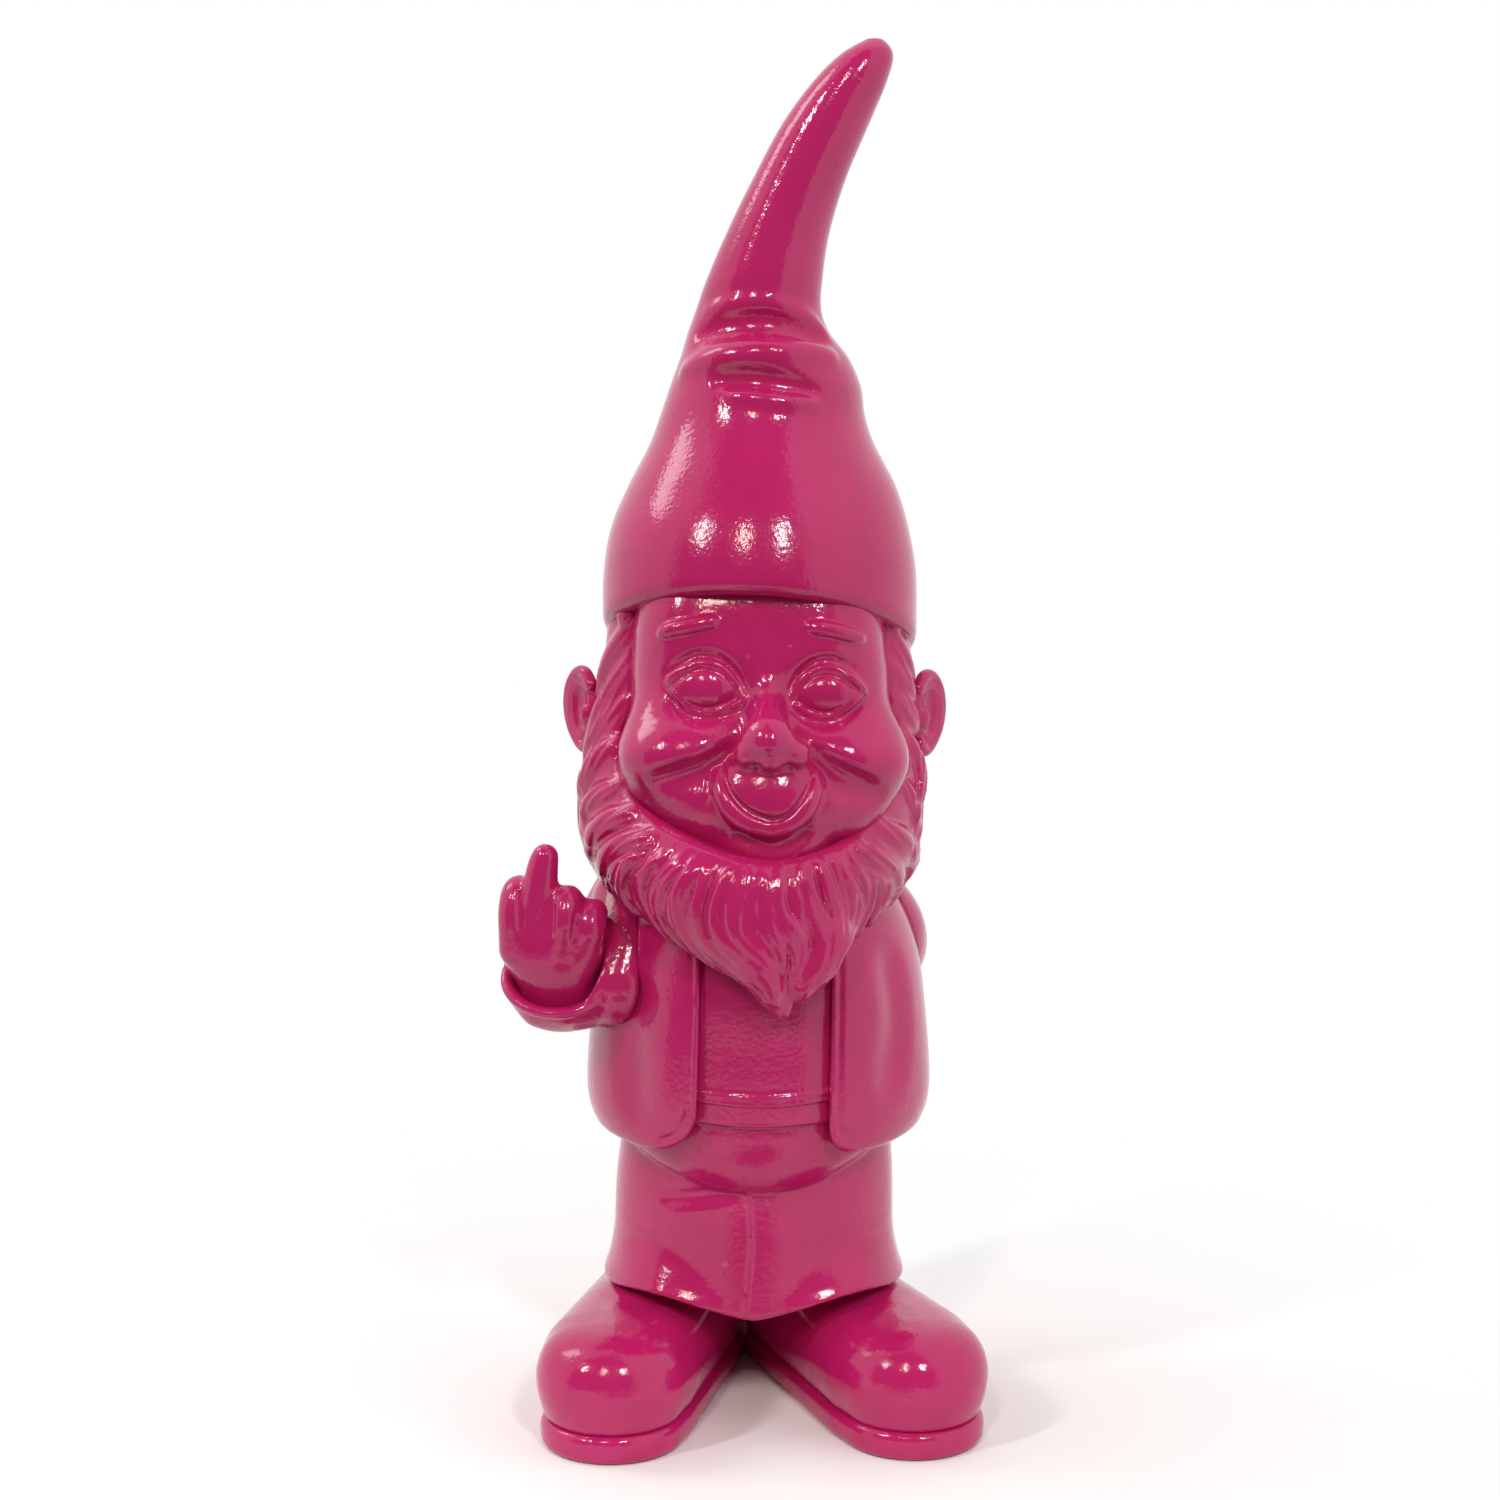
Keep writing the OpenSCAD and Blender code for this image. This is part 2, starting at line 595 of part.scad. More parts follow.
// Jacket: a shell around back and sides, with an open front and rounded lower corners
module open_front() {
    half = open_w / 2;
    low = jacket_z - 1;
    translate([open_shift, 0, 0]) rotate([90, 0, 0]) linear_extrude(cut_side) {
        translate([-half, low]) square([open_w, cut_side]);
        for (side = [-1, 1]) translate([side * half, low]) difference() {
            translate([side * corner_r / 2, corner_r / 2]) square(corner_r, center = true);
            translate([side * corner_r, corner_r]) circle(corner_r, $fn = 48);
        }
    }
}
// The right pin points sideways, the left one also backwards, as its sleeve does
module shoulder_pin(side) {
    back = torso_back * (side < 0 ? 0.1212 : 0.4242);
    drop = torso_h * (side < 0 ? 0.0862 : 0.155);
    turn = side < 0 ? 0 : 35;
    translate([side * torso_w * 0.425, back, arm_z - drop]) rotate([0, 90, turn]) children();
}
module shoulder_pin_bore(side) {
    shoulder_pin(side) cylinder(r = pin_r + pin_fit, h = pin_len, center = true, $fn = 32);
}
module jacket() {
    color(PINK) on_axis() difference() {
        sculpted() difference() {
            jacket_form();
            torso_form(glue_gap);
            shirt_hem(glue_gap);
            trousers_form(glue_gap);
            translate([0, 0, shoulder_z - neck_h / 2])
                cylinder(r = neck_r * 1.154, h = neck_h * 1.667, $fn = 32);
            open_front();
        }
        for (side = [-1, 1]) shoulder_pin_bore(side);
    }
}

// Sleeves: bent tubes, cut to the jacket and the beard, each with a seat for its hand
module right_sleeve_form() {
    u = arm_u;
    limb([[-shoulder_x, 6 * u, arm_z, shoulder_r],
        [-shoulder_x - 7 * u, 2 * u, arm_z - 6 * u, shoulder_r * 0.97],
        [-shoulder_x - 13 * u, -8 * u, elbow_z, shoulder_r * 0.93],
        [hand_x + 5 * u, hand_y + 12 * u, elbow_z + u, cuff_r * 0.8]], 18, 2);
    tube([[-shoulder_x - 13 * u, hand_y + 17 * u, elbow_z - 4 * u, cuff_r * 0.65],
        [hand_x + 5 * u, hand_y + 10 * u, elbow_z - u, cuff_r * 0.9],
        [hand_x + 3 * u, hand_y + 5.5 * u, elbow_z + 4 * u, cuff_r]], 24, 2, [1, 0, 0]);
}
module right_sleeve() {
    color(PINK) on_axis() difference() {
        sculpted() difference() {
            right_sleeve_form();
            jacket_form(glue_gap);
            hair_form(glue_gap);
            hand_form(glue_gap);
        }
        finger_axis() cylinder(r = wire_r + pin_fit, h = wire_cut, center = true, $fn = 32);
        shoulder_pin_bore(-1);
    }
}
module left_sleeve_form() {
    u = arm_u;
    limb([[shoulder_x - 3 * u, 6 * u, arm_z, shoulder_r],
        [shoulder_x + u, 10 * u, arm_z - 5 * u, shoulder_r * 0.95],
        [shoulder_x + 2 * u, 20 * u, arm_z - 12 * u, shoulder_r * 0.9],
        [shoulder_x - 3 * u, arm_back - forearm_r - 5 * u, back_hand_z + 7 * u, forearm_r],
        [14 * u, arm_back - forearm_r, back_hand_z + 2 * u, forearm_r]], 18, 2);
}
module left_sleeve() {
    color(PINK) on_axis() difference() {
        sculpted() difference() {
            left_sleeve_form();
            jacket_form(glue_gap);
            hair_form(glue_gap);
            left_hand_form(glue_gap);
        }
        wrist_axis() cylinder(r = pin_r + pin_fit, h = wrist_pin_len + 1, center = true, $fn = 32);
        shoulder_pin_bore(1);
    }
}

// Right hand: palm, three folded fingers and the raised one with its wire
finger_base = [hand_x - 2.5 * hand_u, hand_y - 1.5 * hand_u, knuckle_z - 10 * hand_u];
finger_tip = [hand_x - hand_u, hand_y - 4 * hand_u, knuckle_z - 8 * hand_u + finger_len];
wire_len = 22 * hand_u + finger_len;
wire_cut = hand_reach * 1.55;
module finger_axis() {
    way = finger_tip - finger_base;
    translate(finger_base) rotate([0, acos(way[2] / norm(way)), atan2(way[1], way[0])]) children();
}
// A folded finger seen from the back of the hand: up over the knuckle and down to the palm
module folded_finger(x, front, top, r, grow) {
    u = hand_u;
    limb([[x, front, top - 7 * u, r + grow], [x, front + 5 * u, top - r, r + grow],
        [x, front + 10 * u, top - 7 * u, r + grow],
        [x, front + 9.5 * u, top - 14 * u, r * 0.92 + grow]], 12, 2, [1, 0, 0]);
}
module hand_form(grow = 0) {
    u = hand_u;
    more = [grow, grow, grow];
    ball([hand_x, hand_y, knuckle_z - 15 * u], [11.5, 8, 13] * u + more, 16);
    ball([hand_x + u, hand_y + u, knuckle_z - 26 * u], [9.5, 8.5, 11] * u + more, 16);
    folded_finger(hand_x - 7.5 * u, hand_y - 2 * u, knuckle_z + 2 * u, 5 * u, grow);
    folded_finger(hand_x + 4.5 * u, hand_y - 4 * u, knuckle_z + u, 4 * u, grow);
    folded_finger(hand_x + 8.7 * u, hand_y - 2.5 * u, knuckle_z - 4 * u, 3.8 * u, grow);
    limb([concat(finger_base - [0, 0, 6 * u], [finger_r * 1.1667 + grow]),
        concat(finger_base + [0, 0, 10 * u], [finger_r + grow]),
        concat(finger_tip, [finger_r * 0.86 + grow])], 12, 2, [0, 1, 0]);
}
module right_hand() {
    color(PINK) on_axis() difference() {
        sculpted() hand_form();
        finger_axis() translate([0, 0, finger_len - wire_r * 1.5 - wire_cut])
            cylinder(r = wire_r + pin_fit, h = wire_cut, $fn = 32);
    }
}
module finger_wire() {
    color(STEEL) on_axis() finger_axis() translate([0, 0, finger_len - wire_r * 2 - wire_len])
        cylinder(r = wire_r, h = wire_len, $fn = 32);
}

// Left hand at the small of the back
wrist_pin_len = 17 * hand_u;
module wrist_axis() {
    translate([8 * hand_u, back_hand_y + 1.2 * hand_u, back_hand_z + 0.5 * hand_u])
        rotate([0, 84, -8]) children();
}
module left_hand_form(grow = 0) {
    u = hand_u;
    more = [grow, grow, grow];
    ball([-2 * u, back_hand_y + u, back_hand_z - 1.5 * u], [12, 6.5, 10] * u + more, 14);
    ball([8 * u, back_hand_y, back_hand_z - 0.5 * u], [8, 6.5, 7.5] * u + more, 14);
    for (k = [0 : 3]) limb([[-8 * u, back_hand_y + 2 * u, back_hand_z + (5.5 - k * 4.6) * u, 3.2 * u + grow],
        [-16 * u, back_hand_y + 3 * u, back_hand_z + (4 - k * 4.4) * u, 3 * u + grow],
        [-20 * u, back_hand_y + 0.5 * u, back_hand_z + (3.5 - k * 4.2) * u, 2.8 * u + grow]], 10, 1);
}
module left_hand() {
    color(PINK) on_axis() difference() {
        sculpted() difference() {
            left_hand_form();
            jacket_form(glue_gap);
        }
        wrist_axis() cylinder(r = pin_r + pin_fit, h = wrist_pin_len + 1, center = true, $fn = 32);
    }
}
module wrist_pin() {
    color(STEEL) on_axis() wrist_axis() cylinder(r = pin_r, h = wrist_pin_len, center = true, $fn = 32);
}
module shoulder_pins() {
    color(STEEL) on_axis() for (side = [-1, 1]) shoulder_pin(side)
        cylinder(r = pin_r, h = pin_len - 1, center = true, $fn = 32);
}

// Trousers: belly, waistband and two legs that touch along a seam, with round bores for the boots
module leg_seam() {
    for (reach = [-trousers_front, trousers_back])
        limb([for (place = [[-0.02, 0.955], [0.12, 0.92], [0.25, 0.885], [0.5, 0.87]])
            [-trousers_w * 0.035, reach * place[1] * (reach > 0 ? 1.06 : 1), hem_z + place[0] * trousers_h,
                trousers_w * 0.011]], 8, 1);
}
module leg_bore(side) {
    heel = heel_place(side);
    translate([(heel[0] + leg_x(side)) / 2, heel[1] - heel_r * 0.5294, 0]) children();
}
module trousers() {
    rim_h = wall * 1.2;
    color(PINK) on_axis() difference() {
        sculpted() difference() {
            union() {
                trousers_form();
                body(TORSO_ROWS, waist_z - 1, torso_h - wall, torso_w - 2 * (wall + glue_gap),
                    torso_front - wall - glue_gap, torso_back - wall - glue_gap, 0, 24, 1);
            }
            leg_seam();
            translate([0, 0, waist_z + rim_h]) linear_extrude(cut_side) square(cut_side, center = true);
            body(BELLY_ROWS, hem_z + wall * 1.6, trousers_h, trousers_w - 4 * wall, trousers_front - 2 * wall,
                trousers_back - 2 * wall, 0, 24, 1);
        }
        for (side = [-1, 1]) leg_bore(side) translate([0, 0, hem_z - 1])
            cylinder(r = spigot_r + glue_gap / 2, h = spigot_h * 2.86, $fn = 64);
    }
}

// Feet: everything about one foot stands at its heel and is turned outwards
function splay(side) = side < 0 ? right_splay : left_splay;
function heel_place(side) = [side * heel_spread / 2 - stance_shift, heel_back];
module foot(side) {
    heel = heel_place(side);
    translate([heel[0], heel[1], 0]) rotate(side * splay(side)) children();
}
module sole_outline() {
    hull() {
        circle(heel_r, $fn = 64);
        translate([0, -ball_at]) circle(ball_r, $fn = 64);
        translate([0, -foot_len]) circle(toe_r, $fn = 64);
    }
}
module boot_form(side) {
    u = foot_u;
    foot(side) hull() {
        ball([0, -foot_len, sole_h + 7 * u], [toe_r * 1.094, toe_r - welt, toe_cap_h * 0.68], 28);
        ball([0, -ball_at, sole_h + 9 * u], [ball_r + u, ball_r - welt, toe_cap_h * 0.72], 32);
        ball([0, -foot_len * 0.35, sole_h + 7 * u], [heel_r, heel_r, toe_cap_h * 0.88], 28);
        translate([0, 0, sole_h - 4 * u]) cylinder(r = heel_r - welt, h = 12 * u, $fn = 32);
        translate([0, 0, sole_h]) cylinder(r = heel_r - 3 * u, h = boot_h, $fn = 32);
    }
}
module boot(side) {
    color(PINK) on_axis() union() {
        sculpted() difference() {
            boot_form(side);
            translate([0, 0, sole_h - cut_side]) linear_extrude(cut_side) square(cut_side, center = true);
            trousers_form(glue_gap);
            heel_web_form(glue_gap);
            foot(side) {
                ball([0, -ball_at, sole_h], [ball_r - wall, ball_r - wall, toe_cap_h * 0.84 - wall], 20);
                translate([-7 * foot_u, -ball_at, sole_h - 1])
                    cube([14 * foot_u, ball_at * 0.872, 11 * foot_u]);
            }
        }
        leg_bore(side) translate([0, 0, hem_z - 4 * foot_u])
            cylinder(r = spigot_r, h = 4 * foot_u + spigot_h, $fn = 64);
    }
}
module right_boot() { boot(-1); }
module left_boot() { boot(1); }

// Block between the heels, hollowed to a round notch in front
web_w = heel_spread - heel_r * 1.706;
web_d = heel_r * 0.55;
web_y = heel_back + heel_r * 0.2353;
module heel_web_form(grow = 0) {
    translate([-stance_shift - web_w / 2 - grow, web_y - grow, 0])
        cube([web_w + 2 * grow, web_d + 2 * grow, hem_z - glue_gap]);
}
module heel_web() {
    color(PINK) on_axis() difference() {
        heel_web_form();
        for (side = [-1, 1]) foot(side) translate([0, 0, -1])
            cylinder(r = heel_r + glue_gap, h = sole_h + 1 + glue_gap, $fn = 96);
        translate([-stance_shift, web_y - heel_r * 0.0882, -1])
            cylinder(r = web_w / 4, h = cut_side, $fn = 48);
    }
}

// Soles with a vent hole and a recess for the plug's head
vent_share = 0.5;
module vent(side) { foot(side) translate([0, -foot_len * vent_share, 0]) children(); }
module sole(side) {
    color(PINK) on_axis() difference() {
        foot(side) linear_extrude(sole_h) sole_outline();
        vent(side) {
            translate([0, 0, -1]) cylinder(r = vent_r, h = sole_h + 2, $fn = 64);
            translate([0, 0, -1]) cylinder(r = plug_head_r * 1.0533, h = plug_head_t + 1.4, $fn = 64);
        }
    }
}
module right_sole() { sole(-1); }
module left_sole() { sole(1); }

// Soft plugs that pull straight down out of the soles
module plug(side) {
    color(SOFT) on_axis() vent(side) translate([0, 0, 0.2]) {
        cylinder(r = plug_head_r, h = plug_head_t, $fn = 64);
        cylinder(r = vent_r - plug_clear, h = plug_head_t + plug_shank, $fn = 64);
    }
}
module right_plug() { plug(-1); }
module left_plug() { plug(1); }

hat();
head();
beard();
back_hair();
torso();
jacket();
right_sleeve();
right_hand();
left_sleeve();
left_hand();
trousers();
right_boot();
left_boot();
heel_web();
right_sole();
left_sole();
right_plug();
left_plug();
finger_wire();
wrist_pin();
shoulder_pins();
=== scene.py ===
"""Looks of a lacquered cast-resin garden gnome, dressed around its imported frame.

Shapes are given in millimetres on the figure's own axis: +X is the figure's left, +Y its back, +Z up.
The castings are modelled in clay, a distance field that is added to, cut and drawn on as by hand, and
then skinned to a mesh. The plugs, the floor, the lamps and the camera are made with Blender's operators.
"""
import logging
import math
from dataclasses import dataclass
from enum import Enum
from typing import Callable, Sequence

import bpy
import numpy as np
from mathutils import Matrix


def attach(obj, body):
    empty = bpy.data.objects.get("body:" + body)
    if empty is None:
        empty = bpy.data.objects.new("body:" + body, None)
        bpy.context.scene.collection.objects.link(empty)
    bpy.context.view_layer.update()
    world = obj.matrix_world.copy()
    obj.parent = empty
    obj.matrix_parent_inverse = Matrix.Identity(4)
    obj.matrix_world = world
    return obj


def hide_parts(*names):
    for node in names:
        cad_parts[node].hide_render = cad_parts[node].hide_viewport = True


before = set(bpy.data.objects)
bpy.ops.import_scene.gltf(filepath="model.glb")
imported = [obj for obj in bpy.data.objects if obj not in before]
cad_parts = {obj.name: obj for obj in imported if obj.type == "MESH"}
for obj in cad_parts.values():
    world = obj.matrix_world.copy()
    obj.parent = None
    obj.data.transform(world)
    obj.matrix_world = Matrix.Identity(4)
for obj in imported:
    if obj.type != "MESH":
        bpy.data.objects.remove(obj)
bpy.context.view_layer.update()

import openvdb
from mathutils import Euler, Vector

LOG = logging.getLogger("gnome")
MM = 0.001
AXIS = np.array((4.878, 4.490, 0.0))
FAR = 60.0
FIGURE = "figure"

Array = np.ndarray
Piece = bpy.types.Object
Material = bpy.types.Material
Tree = bpy.types.NodeTree
Socket = bpy.types.NodeSocket
Point = Sequence[float]
Distance = Callable[[Array, Array, Array], Array]
Pieces = list[tuple[Piece, str]]


class Work(Enum):
    """What a tool does to the clay."""

    ADD = "add"
    CUT = "cut"
    KEEP = "keep"


class Axis(Enum):
    """The figure's axes."""

    X = 0
    Y = 1
    Z = 2


class Side(Enum):
    """The side of the clay that a stroke is drawn on: the axis it looks along and its direction."""

    FRONT = (Axis.Y, 1)
    BACK = (Axis.Y, -1)
    RIGHT = (Axis.X, 1)
    LEFT = (Axis.X, -1)


def curve_through(points: Sequence[Point], per_span: int) -> Array:
    """Draws a smooth curve through points.

    Args:
        points: The places that the curve passes, with any number of columns.
        per_span: How many steps lie between two places.

    Returns:
        The curve's rows.
    """
    places = np.asarray(points, float)
    padded = np.vstack((places[:1], places, places[-1:]))
    rows = []
    for index in range(len(places) - 1):
        a, b, c, d = padded[index:index + 4]
        for step in range(per_span):
            t = step / per_span
            rows.append(0.5 * (2 * b + (c - a) * t + (2 * a - 5 * b + 4 * c - d) * t * t
                               + (3 * b - a - 3 * c + d) * t ** 3))
    rows.append(places[-1])
    return np.array(rows)


def raised(path: Sequence[Point], rise: float) -> tuple:
    """Returns a path of x and z, moved up by rise."""
    return tuple((x, z + rise) for x, z in path)


def soft_min(a: Array, b: Array, blend: float) -> Array:
    """Takes the smaller of two fields, rounded where they meet.

    Args:
        a: A field.
        b: Another field.
        blend: Width of the rounding.

    Returns:
        The joined field.
    """
    if blend <= 0:
        return np.minimum(a, b)
    near = np.maximum(blend - np.abs(a - b), 0) / blend
    return np.minimum(a, b) - near * near * (blend * 0.25)


def soft_max(a: Array, b: Array, blend: float) -> Array:
    """Returns the larger of two fields, rounded where they meet within blend."""
    return -soft_min(-a, -b, blend)


@dataclass(frozen=True)
class Loft:
    """An upright body as rows of shares: height, shift x, shift y, half-width, front reach, back reach."""

    rows: tuple
    base: float
    height: float
    width: float
    front: float
    back: float
    power: float = 2.0
    turn: float = 0.0
    place: tuple = (0.0, 0.0)

    def stations(self) -> Array:
        """Smooths the rows and sizes them in millimetres.

        Returns:
            Rows of height, two shifts, half-width, front reach and back reach.
        """
        rows = curve_through(self.rows, 10)
        scale = np.array((self.height, self.width, self.front, self.width / 2, self.front, self.back))
        return rows * scale + np.array((self.base, 0, 0, 0, 0, 0))

    def distance(self, grow: float = 0.0) -> Distance:
        """Makes the body's distance field.

        Args:
            grow: How far the body is pushed outwards.

        Returns:
            The distance field.
        """
        rows = self.stations()
        cos, sin = math.cos(math.radians(self.turn)), math.sin(math.radians(self.turn))

        def field_of(x: Array, y: Array, z: Array) -> Array:
            """Measures the distance at a grid of places.

            Args:
                x: The places' x.
                y: The places' y.
                z: The places' z.

            Returns:
                The distance, negative inside.
            """
            level = [np.interp(z.ravel(), rows[:, 0], rows[:, k]).reshape(z.shape) for k in range(1, 6)]
            shift_x, shift_y, half, front, back = (a.astype(np.float32) for a in level)
            u = (x - self.place[0]) * cos + (y - self.place[1]) * sin - shift_x
            v = (y - self.place[1]) * cos - (x - self.place[0]) * sin - shift_y
            reach = np.where(v < 0, front, back)
            power = np.where(v < 0, self.power, 2.0).astype(np.float32) if self.power != 2.0 else 2.0
            u_share, v_share = np.abs(u / half) + 1e-4, np.abs(v / reach) + 1e-4
            ratio = (u_share ** power + v_share ** power) ** (1 / power)
            slope = ratio ** (1 - power) * np.sqrt((u_share ** (power - 1) / half) ** 2
                                                   + (v_share ** (power - 1) / reach) ** 2)
            around = (ratio - 1) / (slope + 1e-6)
            ends = np.maximum(rows[0, 0] - z, z - rows[-1, 0])
            return np.maximum(around, ends) - grow

        return field_of


class Clay:
    """A block of modelling clay: a distance field on a regular grid, negative inside."""

    def __init__(self, low: Point, high: Point, step: float) -> None:
        """Takes an empty block.

        Args:
            low: Lowest corner of the block.
            high: Highest corner of the block.
            step: Size of a grid cell.
        """
        self.low = np.asarray(low, float)
        self.step = step
        counts = np.ceil((np.asarray(high, float) - self.low) / step).astype(int) + 1
        self.field = np.full(counts, FAR, np.float32)
        self.ground: Array | None = None

    def settle(self) -> None:
        """Remembers the skin as it is now, so that strokes lie side by side and don't pile up."""
        self.ground = self.field.copy()

    def release(self) -> None:
        """Lets strokes follow the skin as it changes again."""
        self.ground = None

    def window(self, low: Point, high: Point) -> tuple:
        """Finds the grid cells of a box.

        Args:
            low: Lowest corner.
            high: Highest corner.

        Returns:
            The slices of the box and its x, y and z coordinates, ready to broadcast.
        """
        size = np.array(self.field.shape)
        first = np.clip(np.floor((np.asarray(low) - self.low) / self.step).astype(int), 0, size)
        last = np.clip(np.ceil((np.asarray(high) - self.low) / self.step).astype(int) + 1, 0, size)
        cells = tuple(slice(a, b) for a, b in zip(first, last))
        lines = (self.low[k] + self.step * np.arange(first[k], last[k]) for k in range(3))
        x, y, z = (line.astype(np.float32) for line in lines)
        return cells, x[:, None, None], y[None, :, None], z[None, None, :]

    def merge(self, cells: tuple, shape: Array, work: Work, blend: float) -> None:
        """Works a measured shape into some cells of the grid.

        Args:
            cells: Slices of the grid.
            shape: The shape's distance in those cells.
            work: Whether the shape is added, cut away, or all that is kept.
            blend: Width of the rounding where shape and clay meet.
        """
        here = self.field[cells]
        if work is Work.ADD:
            self.field[cells] = soft_min(here, shape, blend)
        else:
            self.field[cells] = soft_max(here, -shape if work is Work.CUT else shape, blend)

    def press(self, shape: Distance, work: Work = Work.ADD, blend: float = 0.0,
              low: Point | None = None, high: Point | None = None) -> None:
        """Works a shape into the clay.

        Args:
            shape: The shape's distance field.
            work: Whether the shape is added, cut away, or all that is kept.
            blend: Width of the rounding where shape and clay meet.
            low: Lowest corner of the box that the shape changes, or the whole block.
            high: Highest corner of that box.
        """
        top = self.low + self.step * np.array(self.field.shape)
        cells, x, y, z = self.window(self.low if low is None else low, top if high is None else high)
        if self.field[cells].size:
            self.merge(cells, shape(x, y, z), work, blend)

    def trim(self, axis: Axis, limit: float, way: int, blend: float = 0.0) -> None:
        """Keeps only what lies past a limit along an axis, on the side that way points to."""
        self.press(lambda *place: way * (limit - place[axis.value]), Work.KEEP, blend)

    def loft(self, body: Loft, work: Work = Work.ADD, blend: float = 0.0, grow: float = 0.0) -> None:
        """Works a lofted body into the clay."""
        self.press(body.distance(grow), work, blend)

    def lump(self, centre: Point, radii: Point, work: Work = Work.ADD, blend: float = 2.0,
             turn: Point = (0.0, 0.0, 0.0)) -> None:
        """Works an egg-shaped lump into the clay.

        Args:
            centre: Middle of the lump.
            radii: Its radius along each of its own axes.
            work: Whether it is added or cut away.
            blend: Width of the rounding around it.
            turn: Its turn about x, y and z in degrees.
        """
        spin = np.array(Euler([math.radians(a) for a in turn]).to_matrix().transposed(), dtype=np.float32)
        size = np.asarray(radii, np.float32)

        def field_of(x: Array, y: Array, z: Array) -> Array:
            """Measures the distance to the lump.

            Args:
                x: The places' x.
                y: The places' y.
                z: The places' z.

            Returns:
                The distance, negative inside.
            """
            p, q, r = x - centre[0], y - centre[1], z - centre[2]
            ratio = slope = np.float32(0)
            for k in range(3):
                share = (spin[k, 0] * p + spin[k, 1] * q + spin[k, 2] * r) / size[k]
                ratio = ratio + share ** 2
                slope = slope + (share / size[k]) ** 2
            ratio = np.sqrt(ratio)
            return ratio * (ratio - 1) / (np.sqrt(slope) + 1e-6)

        reach = max(radii) + blend + 3 * self.step
        self.press(field_of, work, blend, np.asarray(centre) - reach, np.asarray(centre) + reach)

    def roll(self, places: Sequence[Point], work: Work = Work.ADD, blend: float = 1.0,
             per_span: int = 6) -> None:
        """Works a round roll of clay along a path.

        Args:
            places: Rows of x, y, z and radius.
            work: Whether the roll is added or cut away.
            blend: Width of the rounding beside it.
            per_span: Steps of the smooth curve between two places.
        """
        path = curve_through(places, per_span) if per_span else np.asarray(places, float)
        reach = path[:, 3].max() + blend + 3 * self.step
        cells = self.window(path[:, :3].min(0) - reach, path[:, :3].max(0) + reach)[0]
        if not self.field[cells].size:
            return
        roll = np.full(self.field[cells].shape, FAR, np.float32)
        corner = np.array([c.start for c in cells])
        for a, b in zip(path[:-1], path[1:]):
            near = max(a[3], b[3]) + blend + 3 * self.step
            part, px, py, pz = self.window(np.minimum(a[:3], b[:3]) - near, np.maximum(a[:3], b[:3]) + near)
            inner = tuple(slice(s.start - c, s.stop - c) for s, c in zip(part, corner))
            way = b[:3] - a[:3]
            length = max(float(way @ way), 1e-9)
            t = ((px - a[0]) * way[0] + (py - a[1]) * way[1] + (pz - a[2]) * way[2]) / length
            t = np.clip(t, 0, 1).astype(np.float32)
            gap = np.sqrt((px - a[0] - t * way[0]) ** 2 + (py - a[1] - t * way[1]) ** 2
                          + (pz - a[2] - t * way[2]) ** 2) - (a[3] + t * (b[3] - a[3]))
            roll[inner] = np.minimum(roll[inner], gap)
        self.merge(cells, roll, work, blend)

    def hoop(self, centre: Point, across: Point, along: Point, radius: float, blend: float) -> None:
        """Lays a round hoop of clay on.

        Args:
            centre: Middle of the hoop.
            across: The way from the middle to the hoop's start.
            along: The way from the middle to a quarter of the hoop further on.
            radius: Radius of the roll.
            blend: Width of the rounding beside it.
        """
        ring = [(*(c + u * math.cos(a) + v * math.sin(a) for c, u, v in zip(centre, across, along)), radius)
                for a in np.linspace(0, 2 * math.pi, 33)]
        self.roll(ring, blend=blend, per_span=2)

    def sample(self, places: Array) -> Array:
        """Reads the field at places between the grid's points.

        Args:
            places: Rows of x, y and z.

        Returns:
            The field at each place.
        """
        field = self.field if self.ground is None else self.ground
        at = (places - self.low) / self.step
        size = np.array(field.shape)
        cell = np.clip(np.floor(at).astype(int), 0, size - 2)
        part = np.clip(at - cell, 0, 1)
        total = np.zeros(len(places))
        for corner in np.ndindex(2, 2, 2):
            weight = np.prod(np.where(corner, part, 1 - part), axis=1)
            total += weight * field[tuple((cell + corner).T)]
        return total

    def surface(self, marks: Array, side: Side) -> tuple[Array, Array, Array]:
        """Finds the clay's skin under marks drawn on one side.

        Args:
            marks: Rows of the two coordinates that the side shows.
            side: The side that is looked at.

        Returns:
            The places on the skin, the outward directions there, and which marks hit the clay.
        """
        axis, way = side.value[0].value, side.value[1]
        depths = self.low[axis] + self.step * np.arange(self.field.shape[axis])
        depths = depths if way > 0 else depths[::-1]
        flat = [k for k in range(3) if k != axis]
        grid = np.empty((len(marks), len(depths), 3))
        grid[:, :, flat[0]] = marks[:, 0, None]
        grid[:, :, flat[1]] = marks[:, 1, None]
        grid[:, :, axis] = depths[None, :]
        values = self.sample(grid.reshape(-1, 3)).reshape(len(marks), -1)
        inside = values < 0
        hit = inside.any(axis=1)
        first = np.maximum(inside.argmax(axis=1), 1)
        row = np.arange(len(marks))
        before, after = values[row, first - 1], values[row, first]
        share = np.clip(before / np.where(before - after == 0, 1, before - after), 0, 1)
        places = grid[row, first - 1] + share[:, None] * (grid[row, first] - grid[row, first - 1])
        reach = 1.5 * self.step
        slopes = [self.sample(places + reach * np.eye(3)[k]) - self.sample(places - reach * np.eye(3)[k])
                  for k in range(3)]
        normals = np.stack(slopes, axis=1)
        normals /= np.linalg.norm(normals, axis=1, keepdims=True) + 1e-9
        return places, normals, hit

